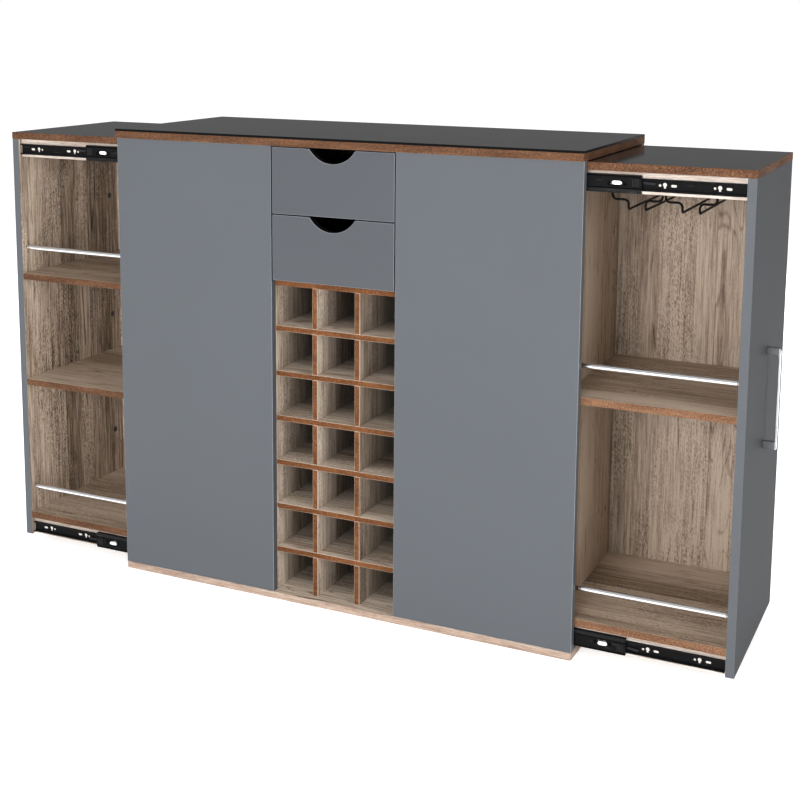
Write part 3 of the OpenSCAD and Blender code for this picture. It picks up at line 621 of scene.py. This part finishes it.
for node in ("rack_divider_left", "rack_divider_right"):
    dress(node, {"rest": rack_upright_painted_shade, "front": raw_red, "back": raw_red}, broken=0.5, line=pale_edge_highlight)

# %% [markdown]
# ## The pull-outs
#
# The tops match the black glass, the ends are grey outside and on their front edges, and everything inside is
# oak. The rails that carry the slides are pale.

# %% Pull-out boards
for side, outside, inside in (("right", "right", "left"), ("left", "left", "right")):
    dress(f"{side}_slab", {"rest": raw_brown, "top": top_grey, "bottom": oak_sideways})
    dress(f"{side}_end_panel", {"rest": grey_front, outside: grey_side_painted_shade,
                                inside: oak_upright if side == "right" else oak_left})
    dress(f"{side}_inner_panel", {"rest": oak_upright})
    dress(f"{side}_back_panel", {"rest": oak_back if side == "right" else oak_deep, outside: grey_side_painted_shade})
    shelf_edge = raw_light if side == "right" else raw_brown
    for shelf in ("bottom_shelf", "shelf") if side == "right" else ("bottom_shelf", "upper_shelf", "lower_shelf"):
        dress(f"{side}_{shelf}", {"rest": oak_sideways, "front": shelf_edge})
    for rail in ("top", "bottom"):
        dress(f"{side}_{rail}_rail", {"rest": pale_rail})

# %% [markdown]
# ## The drawers
#
# Grey fronts with a shallow round cut-out for the fingers, whose rim takes a lighter grey, a painted highlight.
# The rest of each front and the boxes are near black, a painted shade for the dark inside of the drawers.

# %% Drawer boards
for drawer in ("upper", "lower"):
    dress(f"{drawer}_drawer_front", {"rest": painted_shade_board, "front": grey_drawer}, shortest=0.3, line=grey_edge_highlight)
    for part in ("sides", "back", "bottom"):
        dress(f"{drawer}_drawer_{part}", {"rest": painted_shade_board}, broken=0.3)

# %% [markdown]
# ## Shapes that grow from a rule
#
# Some parts of the cabinet repeat: rack shelves, wires, cam locks, bolts, rods, catches and ribs. Each is drawn
# once in a Geometry Nodes tree with named sizes, and the tree puts it on a set of places. The places are the
# vertices of a small mesh, and an attribute on them says how each one is turned. The result is made a plain
# mesh, because a piece has to travel without its modifier.

# %% The Growth class
class Growth:
    """One Geometry Nodes tree while it is being written."""

    def __init__(self, name, **sizes):
        self.tree = bpy.data.node_groups.new(name, "GeometryNodeTree")
        front = self.tree.interface
        front.new_socket("Places", in_out="INPUT", socket_type="NodeSocketGeometry")
        front.new_socket("Shape", in_out="OUTPUT", socket_type="NodeSocketGeometry")
        self.identifiers = {}
        for size, start in sizes.items():
            kind = "NodeSocketInt" if isinstance(start, int) else "NodeSocketFloat"
            socket = front.new_socket(size, in_out="INPUT", socket_type=kind)
            socket.default_value = start
            self.identifiers[size] = socket.identifier
        finish = front.new_socket("Finish", in_out="INPUT", socket_type="NodeSocketMaterial")
        self.identifiers["Finish"] = finish.identifier
        self.entry = self.tree.nodes.new("NodeGroupInput")
        self.end = self.tree.nodes.new("NodeGroupOutput")

    def size(self, name):
        return Signal(self.tree, self.entry.outputs[name])

    def add(self, kind, settings=None, sockets=None, out=0):
        return Signal(self.tree, add_node(self.tree, kind, settings, sockets).outputs[out])

    def vector(self, x=0.0, y=0.0, z=0.0):
        return self.add("ShaderNodeCombineXYZ", {}, {"X": x, "Y": y, "Z": z})

    def moved(self, shape, place=None, turn=(0, 0, 0)):
        sockets = {"Geometry": shape, "Rotation": turn}
        if place is not None:
            sockets["Translation"] = place
        return self.add("GeometryNodeTransform", {}, sockets)

    def joined(self, *shapes):
        node = add_node(self.tree, "GeometryNodeJoinGeometry")
        for shape in shapes:
            self.tree.links.new(shape.socket, node.inputs[0])
        return Signal(self.tree, node.outputs[0])

    def cut_by(self, shape, cutter):
        node = add_node(self.tree, "GeometryNodeMeshBoolean", {"operation": "DIFFERENCE", "solver": "EXACT"},
                        {"Mesh 1": shape, "Mesh 2": cutter})
        return Signal(self.tree, node.outputs[0])

    def repeated(self, shape, points, turn=None):
        sockets = {"Points": points, "Instance": shape}
        if turn is not None:
            sockets["Rotation"] = turn
        return self.add("GeometryNodeInstanceOnPoints", {}, sockets)

    def on_places(self, shape):
        turn = self.add("GeometryNodeInputNamedAttribute", {"data_type": "FLOAT_VECTOR"}, {"Name": "turn"})
        return self.repeated(shape, self.size("Places"), turn)

    def close(self, shape, smooth=False):
        """Every tree ends the same way: real geometry, its shading, and its finish."""
        plain = self.add("GeometryNodeRealizeInstances", {}, {0: shape})
        shaded = self.add("GeometryNodeSetShadeSmooth", {}, {"Geometry": plain, "Shade Smooth": smooth})
        finished = self.add("GeometryNodeSetMaterial", {}, {"Geometry": shaded, "Material": self.size("Finish")})
        self.tree.links.new(finished.socket, self.end.inputs[0])
        return self


def settle(name, data, growth, finish, body, sizes):
    """Runs a tree on a mesh and keeps what it grows, as one plain mesh that rides on a body."""
    piece = bpy.data.objects.new(name, data)
    scene.collection.objects.link(piece)
    rule = piece.modifiers.new("rule", "NODES")
    rule.node_group = growth.tree
    rule[growth.identifiers["Finish"]] = finish
    for size, value in sizes.items():
        rule[growth.identifiers[size]] = value
    evaluated = piece.evaluated_get(bpy.context.evaluated_depsgraph_get())
    piece.data = bpy.data.meshes.new_from_object(evaluated)
    piece.modifiers.clear()
    bpy.data.meshes.remove(data)
    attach(piece, body)
    return piece


def grow(name, growth, finish, body, places, turns=None, **sizes):
    """Grows a tree's shape on the given places."""
    data = bpy.data.meshes.new(name)
    data.from_pydata([tuple(p) for p in places], [], [])
    attribute = data.attributes.new("turn", "FLOAT_VECTOR", "POINT")
    for i, turn in enumerate(turns or [(0, 0, 0)] * len(places)):
        attribute.data[i].vector = turn
    piece = settle(name, data, growth, finish, body, sizes)
    piece.data.set_sharp_from_angle(angle=SHARP)
    print(f"  {name}: {len(piece.data.polygons)} faces on {len(places)} places")
    return piece


def islands(node):
    """The separate solids of a node, as (lowest corner, highest corner), from left to right and upwards."""
    mesh = bmesh.new()
    mesh.from_mesh(nodes[node].data)
    bmesh.ops.remove_doubles(mesh, verts=mesh.verts, dist=1e-6)
    left, found = set(mesh.verts), []
    while left:
        edge, group = [left.pop()], []
        while edge:
            vert = edge.pop()
            group.append(vert.co.copy())
            for link in vert.link_edges:
                other = link.other_vert(vert)
                if other in left:
                    left.remove(other)
                    edge.append(other)
        low = Vector([min(c[axis] for c in group) for axis in range(3)])
        high = Vector([max(c[axis] for c in group) for axis in range(3)])
        found.append((low, high))
    mesh.free()
    return sorted(found, key=lambda pair: tuple(round(v, 4) for v in pair[0]))


print("solids in the right fixings:", len(islands("right_fixings")))

# %% [markdown]
# ## The bottle rack
#
# Six shelves are slotted from the back and two dividers from the front, each to half its depth, and they lock
# into each other like the sections of an egg box. That is a rule, so for the shelves one tree makes a board, cuts
# slots at an even pitch and repeats the board at another pitch. The dividers are dressed with the body boards.
#
# The tree cuts the slots. The edges are broken afterwards, because there is no bevel node.

# %% A slotted board, repeated
slotted = Growth("slotted boards", Length=0.3, Depth=0.4, Thickness=0.012, Slot=0.0122, SlotPitch=0.1, Slots=2,
                 Boards=6, Pitch=0.1)
length, depth, thick = (slotted.size(n) for n in ("Length", "Depth", "Thickness"))
plate = slotted.add("GeometryNodeMeshCube", {}, {"Size": slotted.vector(length, depth, thick)})
knife = slotted.add("GeometryNodeMeshCube", {}, {"Size": slotted.vector(slotted.size("Slot"), depth, thick * 3.0)})
slot_line = slotted.add("GeometryNodeMeshLine", {"mode": "OFFSET"}, {
    "Count": slotted.size("Slots"),
    "Start Location": slotted.vector((1.0 - slotted.size("Slots")) * slotted.size("SlotPitch") * 0.5, depth * 0.5),
    "Offset": slotted.vector(slotted.size("SlotPitch"))})
knives = slotted.add("GeometryNodeRealizeInstances", {}, {0: slotted.repeated(knife, slot_line)})
board_line = slotted.add("GeometryNodeMeshLine", {"mode": "OFFSET"}, {
    "Count": slotted.size("Boards"),
    "Start Location": slotted.vector(z=(1.0 - slotted.size("Boards")) * slotted.size("Pitch") * 0.5),
    "Offset": slotted.vector(z=slotted.size("Pitch"))})
slotted.close(slotted.on_places(slotted.repeated(slotted.cut_by(plate, knives), board_line)))


RACK_SHELVES = 6
LAP_PLAY = 0.1 * MM
PRINT, RAW, PAINTED_HIGHLIGHT = range(3)


def finish_rack(piece, broken=0.5):
    """Gives the front and back edges the raw board, the rest the print, and the broken edges a pale painted
    highlight.
    """
    mesh = bmesh.new()
    mesh.from_mesh(piece.data)
    make_whole(mesh, 1e-6)
    for face in mesh.faces:
        face.material_index = RAW if abs(face.normal.y) > FACING else PRINT
    break_edges(mesh, broken, PAINTED_HIGHLIGHT)
    piece.data.materials.clear()
    for finish in (rack_sideways_painted_shade, raw_red, pale_edge_highlight):
        piece.data.materials.append(finish)
    mesh.to_mesh(piece.data)
    mesh.free()


shelf_nodes = [f"rack_shelf_{i + 1}" for i in range(RACK_SHELVES)]
rack_boxes = [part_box(node) for node in shelf_nodes]
divider_boxes = [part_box(f"rack_divider_{side}") for side in ("left", "right")]
rack_t = rack_boxes[0][1].z - rack_boxes[0][0].z
rack_pitch = (rack_boxes[-1][0].z - rack_boxes[0][0].z) / (RACK_SHELVES - 1)
divider_pitch = divider_boxes[1][0].x - divider_boxes[0][0].x
middle = (rack_boxes[0][0] + rack_boxes[-1][1]) / 2
shelves = grow("bottle_rack_shelves", slotted, rack_sideways_painted_shade, "carcass", [middle],
               Length=rack_boxes[0][1].x - rack_boxes[0][0].x, Depth=rack_boxes[0][1].y - rack_boxes[0][0].y,
               Thickness=rack_t, Slot=rack_t + 2 * LAP_PLAY, SlotPitch=divider_pitch, Slots=len(divider_boxes),
               Boards=RACK_SHELVES, Pitch=rack_pitch)
finish_rack(shelves)
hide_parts(*shelf_nodes)
print("rack pitch, mm:", round(rack_pitch / MM, 2), "divider pitch, mm:", round(divider_pitch / MM, 2))

# %% [markdown]
# ## Glass rack
#
# Two slots hang under the right unit's top, each of two black wires. A wire goes down from a flat bar, in
# towards its partner, down again, and back as the long rail that carries the foot of a glass. It is a bent
# line with rounded corners, and a round section swept along it. It is drawn a millimetre thicker than the solid
# and with wider bends.

# %% Bent wire
hanger = Growth("bent wire", Radius=0.002, Bend=0.007)
low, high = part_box("glass_rack")
bar_t, bar_w, wire_r = 1.5 * MM, 12 * MM, 2 * MM
slot_low = low.z + wire_r
front_y, back_y = low.y + bar_w / 2, high.y - bar_w / 2
hang_top = high.z - bar_t / 2
SLOT_PITCH, SLOT_W, SLOT_DROP, HANGER_W = 107.5 * MM, 34 * MM, 19.5 * MM, 101 * MM
lip_z = slot_low + SLOT_DROP
hang_x = (low.x + high.x) / 2
wire_step_in = (HANGER_W - SLOT_W) / 2
corners = [(0, front_y, hang_top), (0, front_y, lip_z), (wire_step_in, front_y, lip_z),
           (wire_step_in, front_y, slot_low), (wire_step_in, back_y, slot_low), (wire_step_in, back_y, lip_z),
           (0, back_y, lip_z), (0, back_y, hang_top)]
print("wire corners:", len(corners))

path = hanger.add("GeometryNodeMeshToCurve", {}, {0: hanger.size("Places")})
rounded = hanger.add("GeometryNodeFilletCurve", {"mode": "POLY"},
                     {"Curve": path, "Count": 6, "Radius": hanger.size("Bend"), "Limit Radius": True})
section = hanger.add("GeometryNodeCurvePrimitiveCircle", {"mode": "RADIUS"},
                     {"Resolution": 14, "Radius": hanger.size("Radius")})
swept = add_node(hanger.tree, "GeometryNodeCurveToMesh", {}, {"Curve": rounded, "Profile Curve": section,
                                                              "Fill Caps": True})
hanger.close(Signal(hanger.tree, swept.outputs[0]), smooth=True)


def grow_wires(name, growth, paths, finish, body, **sizes):
    """Sweeps a tree's section along each path of points."""
    data = bpy.data.meshes.new(name)
    points, edges = [], []
    for line in paths:
        edges += [(len(points) + i, len(points) + i + 1) for i in range(len(line) - 1)]
        points += line
    data.from_pydata(points, edges, [])
    piece = settle(name, data, growth, finish, body, sizes)
    print(f"  {name}: {len(piece.data.polygons)} faces")
    return piece


DRAWN_RADIUS, DRAWN_BEND = 2.5 * MM, 9 * MM
wire_paths = []
for slot in (-1, 1):
    for side in (-1, 1):
        start_x = hang_x + slot * SLOT_PITCH / 2 + side * HANGER_W / 2
        wire_paths.append([(start_x - side * x, y, z) for x, y, z in corners])
wires = grow_wires("glass_rack_wires", hanger, wire_paths, black_wire, "right_pullout", Radius=DRAWN_RADIUS,
                   Bend=DRAWN_BEND)

bar = Growth("flat bar with round ends", Length=0.2, Width=0.012, Thickness=0.0015)
outline = bar.add("GeometryNodeFilletCurve", {"mode": "POLY"}, {
    "Curve": bar.add("GeometryNodeCurvePrimitiveQuadrilateral", {},
                     {"Width": bar.size("Length"), "Height": bar.size("Width")}),
    "Count": 5, "Radius": bar.size("Width") * 0.3, "Limit Radius": True})
sheet = bar.add("GeometryNodeFillCurve", {"mode": "NGONS"}, {"Curve": outline})
risen = bar.add("GeometryNodeExtrudeMesh", {}, {"Mesh": sheet, "Offset Scale": bar.size("Thickness"),
                                                "Individual": False})
under = bar.add("GeometryNodeFlipFaces", {}, {"Mesh": sheet})
bar.close(bar.on_places(bar.add("GeometryNodeMergeByDistance", {}, {"Geometry": bar.joined(risen, under)})))
bars = grow("glass_rack_bars", bar, black_wire, "right_pullout",
            [(hang_x, y, high.z - bar_t) for y in (front_y, back_y)],
            Length=high.x - low.x, Width=bar_w, Thickness=bar_t)
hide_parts("glass_rack")
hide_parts("glass_rack")

# %% [markdown]
# ## Cam locks
#
# Six cam locks in each unit draw its end and inner panels against the back panel. Each is a zinc disc in a
# drilled hole, with a round rim and a cross for the screwdriver, and its zinc is darkened, a painted shade in the
# hole. One tree makes the disc, cuts the cross and sets it on the places read from the measured solids.

# %% Cam locks
CAM_D, CAM_T, RECESS = 15 * MM, 11 * MM, 2.1 * MM
RIM_SHARE, RIM_DEPTH = 0.86, 0.8 * MM
LONG = 20 * MM
cam = Growth("cam lock", Diameter=CAM_D, Height=CAM_T, Recess=RECESS)
radius = cam.size("Diameter") * 0.5
disc = cam.add("GeometryNodeMeshCylinder", {}, {"Vertices": 40, "Radius": radius, "Depth": cam.size("Height")})
cross = [cam.add("GeometryNodeMeshCube", {}, {"Size": cam.vector(*size)}) for size in (
    (radius, cam.size("Recess"), cam.size("Recess") * 2.0), (cam.size("Recess"), radius, cam.size("Recess") * 2.0))]
ring = cam.add("GeometryNodeMeshCylinder", {}, {"Vertices": 40, "Radius": radius * RIM_SHARE,
                                                  "Depth": RIM_DEPTH})
floor_of_cam = cam.vector(z=cam.size("Height") * 0.5)
cutters = cam.joined(*[cam.moved(shape, floor_of_cam) for shape in (*cross, ring)])
cam.close(cam.on_places(cam.cut_by(disc, cutters)))

units = {}
for side in ("right", "left"):
    solids = {"cams": [], "bolts": [], "screws": []}
    for low, high in islands(f"{side}_fixings"):
        size = high - low
        kind = "bolts" if size.y > LONG else "screws" if size.x > LONG else "cams"
        solids[kind].append((low, high))
    units[side] = solids
    unit_middle = sum(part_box(f"{side}_top_rail"), Vector()) / 2
    places = [(low + high) / 2 for low, high in solids["cams"]]
    turns = [(0, math.radians(90 if place.x < unit_middle.x else -90), 0) for place in places]
    cams = grow(f"{side}_cam_locks", cam, cam_zinc_painted_shade, f"{side}_pullout", places, turns, Diameter=CAM_D,
                Height=CAM_T, Recess=RECESS)
    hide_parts(f"{side}_fixings")
    print(side, {kind: len(found) for kind, found in solids.items()})

# %% [markdown]
# ## Bolts and screws
#
# The bolts of the cam locks and the screws of the handles are both a shank with a thread, and the screws have a
# round head. The thread is a row of thin rings on a thinner core, which is as much as anyone sees of it.

# %% Threaded pins
pin = Growth("threaded pin", Radius=0.0035, Length=0.05, Thread=0.011, Rings=8, HeadRadius=0.0, HeadHeight=0.0)
shank_r = pin.size("Radius")
core = pin.moved(pin.add("GeometryNodeMeshCylinder", {}, {"Vertices": 20, "Radius": shank_r * 0.8,
                                                          "Depth": pin.size("Length")}),
                 pin.vector(z=pin.size("Length") * 0.5))
smooth_part = pin.moved(pin.add("GeometryNodeMeshCylinder", {}, {
    "Vertices": 20, "Radius": shank_r, "Depth": pin.size("Length") - pin.size("Thread")}),
    pin.vector(z=(pin.size("Length") - pin.size("Thread")) * 0.5))
thread_ring = pin.add("GeometryNodeMeshCylinder", {}, {"Vertices": 20, "Radius": shank_r * 0.98, "Depth": 0.0004})
thread_line = pin.add("GeometryNodeMeshLine", {"mode": "OFFSET"}, {
    "Count": pin.size("Rings"), "Start Location": pin.vector(z=pin.size("Length") - pin.size("Thread")),
    "Offset": pin.vector(z=pin.size("Thread") * 0.115)})
head = pin.moved(pin.add("GeometryNodeMeshCylinder", {}, {"Vertices": 28, "Radius": pin.size("HeadRadius"),
                                                          "Depth": pin.size("HeadHeight")}),
                 pin.vector(z=pin.size("HeadHeight") * 0.5))
driver = pin.joined(*[pin.add("GeometryNodeMeshCube", {}, {"Size": pin.vector(*size)}) for size in (
    (pin.size("HeadRadius"), 0.0008, 0.002), (0.0008, pin.size("HeadRadius"), 0.002))])
pin.close(pin.on_places(pin.joined(core, smooth_part, pin.repeated(thread_ring, thread_line),
                                   pin.cut_by(head, driver))))

for side, solids in units.items():
    bolts = solids["bolts"]
    places = [((low.x + high.x) / 2, low.y, (low.z + high.z) / 2) for low, high in bolts]
    grown = grow(f"{side}_cam_bolts", pin, zinc, f"{side}_pullout", places, [(math.radians(-90), 0, 0)] * len(bolts),
                 Radius=(bolts[0][1].x - bolts[0][0].x) / 2, Length=bolts[0][1].y - bolts[0][0].y,
                 Thread=11 * MM, Rings=8)
    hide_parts(f"{side}_fixings")
    screws = solids["screws"]
    outward = 1 if side == "right" else -1
    places = [((low.x if outward > 0 else high.x), (low.y + high.y) / 2, (low.z + high.z) / 2)
              for low, high in screws]
    grown = grow(f"{side}_handle_screws", pin, zinc, f"{side}_pullout", places,
                 [(0, math.radians(90 * outward), 0)] * len(screws), Radius=2 * MM,
                 Length=screws[0][1].x - screws[0][0].x, Thread=10 * MM, Rings=8, HeadRadius=4 * MM,
                 HeadHeight=2.5 * MM)
    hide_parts(f"{side}_fixings")

# %% [markdown]
# ## Slides
#
# The members of the slides keep their measured sections, with their long edges just broken and given a lighter
# grey, a painted highlight. The middle member's rolled lips are a little lighter, which is wear and a painted
# sheen, and the grooves beside them are near black, a painted shade. What makes such a slide look real is on the
# middle member's face: a white plastic catch in its window, black discs at both sides of it that stand for the
# shade in its holes, and a ribbed plastic end cap. Behind the cap a small sprung lever lies in the inner member,
# and behind the keyholes of the inner member the rail is paler, so that they show bright. There are four slides to
# a unit, two at the front and two turned to face them at the back, so these are grown on four places, each with
# its turn.

# %% Slide members
LIP, GROOVE, MIDDLE_H = 5.0 * MM, 2.5 * MM, 36 * MM
LIP_FINISH, GROOVE_FINISH = 2, 3
for node in ("fixed_slides", "right_middle_slides", "left_middle_slides", "right_inner_slides",
             "left_inner_slides"):
    member = dress(node, {"rest": black_steel}, broken=0.4, shortest=9.0, line=edge_highlight_steel)
    if "middle" in node:
        low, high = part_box(node)
        rows = [(low.z, low.z + MIDDLE_H), (high.z - MIDDLE_H, high.z)]
        score(member, [(2, z) for row in rows for z in (row[0] + LIP, row[0] + LIP + GROOVE, row[1] - LIP - GROOVE,
                                                        row[1] - LIP)])
        # The lips take a slightly lighter, more worn steel: wear and a painted sheen.
        member.data.materials.append(lip_wear_and_sheen)
        # Painted shade: the grooves beside the lips are near black.
        member.data.materials.append(groove_painted_shade)
        for polygon in member.data.polygons:
            depth = min(abs(polygon.center.z - edge) for row in rows for edge in row)
            if abs(polygon.normal.y) > SQUARE_ON and depth < LIP + GROOVE:
                polygon.material_index = LIP_FINISH if depth < LIP else GROOVE_FINISH

for side in ("right", "left"):
    for rail in ("top", "bottom"):
        board = scene.objects[f"{side}_{rail}_rail_board"]
        low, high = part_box(f"{side}_{rail}_rail")
        inner = next(pair for pair in islands(f"{side}_inner_slides") if pair[0].z < high.z and pair[1].z > low.z)
        score(board, [(0, inner[0].x), (0, inner[1].x), (2, inner[0].z), (2, inner[1].z)])
        # The rail is paler behind the inner member, so that its keyholes show bright.
        board.data.materials.append(paler_rail_patch)
        for polygon in board.data.polygons:
            if polygon.normal.y < -SQUARE_ON and all(inner[0][axis] < polygon.center[axis] < inner[1][axis]
                                                     for axis in (0, 2)):
                polygon.material_index = len(board.data.materials) - 1
print("the keyholes of the slides show the rail paler")

# %% Catches, caps and levers
catch = Growth("catch in the window", Length=0.02, Width=0.01, Depth=0.0035, Back=0.048, Face=0.003)
oblong = catch.add("GeometryNodeFilletCurve", {"mode": "POLY"}, {
    "Curve": catch.add("GeometryNodeCurvePrimitiveQuadrilateral", {},
                       {"Width": catch.size("Length"), "Height": catch.size("Width")}),
    "Count": 8, "Radius": catch.size("Width") * 0.49, "Limit Radius": True})
flat = catch.add("GeometryNodeFillCurve", {"mode": "NGONS"}, {"Curve": oblong})
raised = catch.add("GeometryNodeExtrudeMesh", {}, {"Mesh": flat, "Offset Scale": catch.size("Depth"),
                                                   "Individual": False})
closed = catch.add("GeometryNodeMergeByDistance", {}, {"Geometry": catch.joined(
    raised, catch.add("GeometryNodeFlipFaces", {}, {"Mesh": flat}))})
groove = catch.moved(catch.add("GeometryNodeMeshCylinder", {}, {"Vertices": 24, "Radius": catch.size("Width") * 0.26,
                                                                "Depth": 0.002}),
                     catch.vector(x=catch.size("Length") * 0.22, z=catch.size("Depth")))
turned = catch.moved(catch.cut_by(closed, groove),
                     catch.vector(x=catch.size("Back") * -1.0, y=catch.size("Face") + catch.size("Depth")),
                     (math.radians(90), 0, 0))
catch.close(catch.on_places(turned))

# Painted shade: black discs lie on the middle member where its holes are, standing for the shade in them.
shade = Growth("dark hole", Radius=0.0052, First=0.0645, Second=0.0325, Face=0.0044)
lid = shade.add("GeometryNodeMeshCylinder", {}, {"Vertices": 24, "Radius": shade.size("Radius"), "Depth": 0.0005})
holes = [shade.moved(lid, shade.vector(x=shade.size(n) * -1.0, y=shade.size("Face")), (math.radians(90), 0, 0))
         for n in ("First", "Second")]
shade.close(shade.on_places(shade.joined(*holes)))

ribs = Growth("cap ribs", Count=5, Pitch=0.003, Height=0.015, Width=0.0011, Proud=0.0003, Face=0.0022)
rib = ribs.add("GeometryNodeMeshCube", {}, {"Size": ribs.vector(ribs.size("Width"), ribs.size("Proud") * 2.0,
                                                                ribs.size("Height"))})
rib_line = ribs.add("GeometryNodeMeshLine", {"mode": "OFFSET"}, {
    "Count": ribs.size("Count"), "Start Location": ribs.vector(x=-0.017, y=ribs.size("Face")),
    "Offset": ribs.vector(x=ribs.size("Pitch"))})
ribs.close(ribs.on_places(ribs.repeated(rib, rib_line)))

lever = Growth("sprung lever", Length=0.024, Width=0.0045, Sheet=0.0009)
bow = lever.add("GeometryNodeCurvePrimitiveBezierSegment", {"mode": "POSITION"}, {
    "Resolution": 14, "Start": lever.vector(y=0.0098), "Start Handle": lever.vector(x=lever.size("Length") * 0.4,
                                                                                   y=0.0095),
    "End Handle": lever.vector(x=lever.size("Length") * 0.6, y=0.0072, z=-0.0002),
    "End": lever.vector(x=lever.size("Length"), y=0.0078, z=-0.001)})
strip_section = lever.add("GeometryNodeCurvePrimitiveQuadrilateral", {}, {"Width": lever.size("Sheet"),
                                                                          "Height": lever.size("Width")})
tongue = lever.add("GeometryNodeCurveToMesh", {}, {"Curve": bow, "Profile Curve": strip_section,
                                                   "Fill Caps": True})
lever.close(lever.on_places(tongue))

HALF_TURN = math.pi
RACE, CAP_INSET, LEVER_STEP = 2.2 * MM, 1.5 * MM, 2 * MM
for side, outward in (("right", 1), ("left", -1)):
    low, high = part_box(f"{side}_middle_slides")
    end_x = (high.x if outward > 0 else low.x) - outward * CAP_INSET
    spots, turns = [], []
    for z in (low.z + MIDDLE_H / 2, high.z - MIDDLE_H / 2):
        spots += [(end_x, low.y - RACE, z), (end_x, high.y + RACE, z)]
        turns += [(0, 0 if outward > 0 else HALF_TURN, 0), (HALF_TURN, 0, 0) if outward > 0 else (0, 0, HALF_TURN)]
    rider = f"{side}_middle_members"
    grow(f"{side}_slide_catches", catch, white_plastic, rider, spots, turns)
    grow(f"{side}_slide_hole_shades", shade, painted_hole_shade, rider, spots, turns)
    grow(f"{side}_slide_cap_ribs", ribs, grey_plastic, rider, spots, turns)
    lever_spots = [(x + outward * LEVER_STEP, y, z) for x, y, z in spots]
    grow(f"{side}_slide_levers", lever, grey_plastic, f"{side}_pullout", lever_spots, turns)

# %% [markdown]
# ## Gallery rods and handles
#
# Chromed rods run across the front of some compartments, so that bottles don't slide off, and sit in a small cup
# at each end. The handles are flat bars bent into a D, brushed along the grip. Their feet and outer faces are a
# darker steel, a painted dark reflection, and their broken edges take the brighter chrome, a painted highlight.

# %% Rods
rod = Growth("gallery rod in its cups", Length=0.3, Radius=0.004, Cup=0.006, CupLength=0.006)
rod_turn = (0, math.radians(90), 0)
bar_of_rod = rod.moved(rod.add("GeometryNodeMeshCylinder", {}, {
    "Vertices": 32, "Side Segments": 1, "Radius": rod.size("Radius"), "Depth": rod.size("Length")}), None, rod_turn)
cup_body = rod.add("GeometryNodeMeshCylinder", {}, {"Vertices": 32, "Radius": rod.size("Cup"),
                                                    "Depth": rod.size("CupLength") * 0.75})
cup_rim = rod.add("GeometryNodeMeshCone", {}, {"Vertices": 32, "Radius Top": rod.size("Radius") * 1.1,
                                               "Radius Bottom": rod.size("Cup"),
                                               "Depth": rod.size("CupLength") * 0.25})
cup = rod.joined(rod.moved(cup_body, rod.vector(z=rod.size("CupLength") * 0.375)),
                 rod.moved(cup_rim, rod.vector(z=rod.size("CupLength") * 0.75)))
cups = [rod.moved(cup, rod.vector(x=(rod.size("Length") * 0.5 + 0.001) * end), (0, math.radians(-90 * end), 0))
        for end in (-1.0, 1.0)]
rod.close(rod.on_places(rod.joined(bar_of_rod, *cups)), smooth=True)

CUP_RADIUS, CUP_LENGTH, ROD_MIN = 6 * MM, 6 * MM, 100 * MM
FOOT_HEIGHT, GRIP = 24 * MM, 4.5 * MM
for side in ("right", "left"):
    rods = [(low, high) for low, high in islands(f"{side}_gallery_rods") if high.x - low.x > ROD_MIN]
    grown = grow(f"{side}_rods", rod, chrome, f"{side}_pullout", [(low + high) / 2 for low, high in rods],
                 Length=rods[0][1].x - rods[0][0].x, Radius=(rods[0][1].z - rods[0][0].z) / 2, Cup=CUP_RADIUS,
                 CupLength=CUP_LENGTH)
    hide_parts(f"{side}_gallery_rods")
    # Painted dark reflection on the outer face and the feet, and a painted highlight of brighter chrome on the
    # broken edges.
    handle = dress(f"{side}_handle", {"rest": handle_steel, side: handle_outer_painted_dark}, broken=0.9, shortest=0.4,
                   line=chrome)
    handle.data.materials.append(handle_foot_painted_dark)
    low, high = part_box(f"{side}_handle")
    outer = high.x if side == "right" else low.x
    score(handle, [(2, low.z + FOOT_HEIGHT), (2, high.z - FOOT_HEIGHT),
                   (0, outer - GRIP if side == "right" else outer + GRIP)])
    for polygon in handle.data.polygons:
        in_foot = not low.z + FOOT_HEIGHT < polygon.center.z < high.z - FOOT_HEIGHT
        if in_foot and abs(polygon.center.x - outer) > GRIP and abs(polygon.normal.y) > SQUARE_ON:
            polygon.material_index = len(handle.data.materials) - 1

# %% Nodes that keep their measured shape
as_measured = {zinc: ("drawer_fixed_runners", "upper_drawer_runners", "lower_drawer_runners"),
               beech: ("carcass_dowels", "right_dowels", "left_dowels")}
for finish, names in as_measured.items():
    for node in names:
        nodes[node].data.materials.clear()
        nodes[node].data.materials.append(finish)
print("nodes as measured:", sum(len(n) for n in as_measured.values()))

# %% Floor
floor = bpy.data.objects.new("floor", bpy.data.meshes.new("floor"))
half = 60.0
floor.data.from_pydata([(-half, -half, 0), (half, -half, 0), (half, half, 0), (-half, half, 0)], [], [(0, 1, 2, 3)])
scene.collection.objects.link(floor)
paper = Finish("white paper floor", Roughness=0.9, Specular_IOR_Level=0.0, Emission_Color=(1, 1, 1, 1),
               Emission_Strength=0.45)
paper.feed(Base_Color=(0.97 + paper.noise((4, 4, 4)) * 0.03).times_colour((0.93, 0.93, 0.93, 1)))
floor.data.materials.append(paper.material)
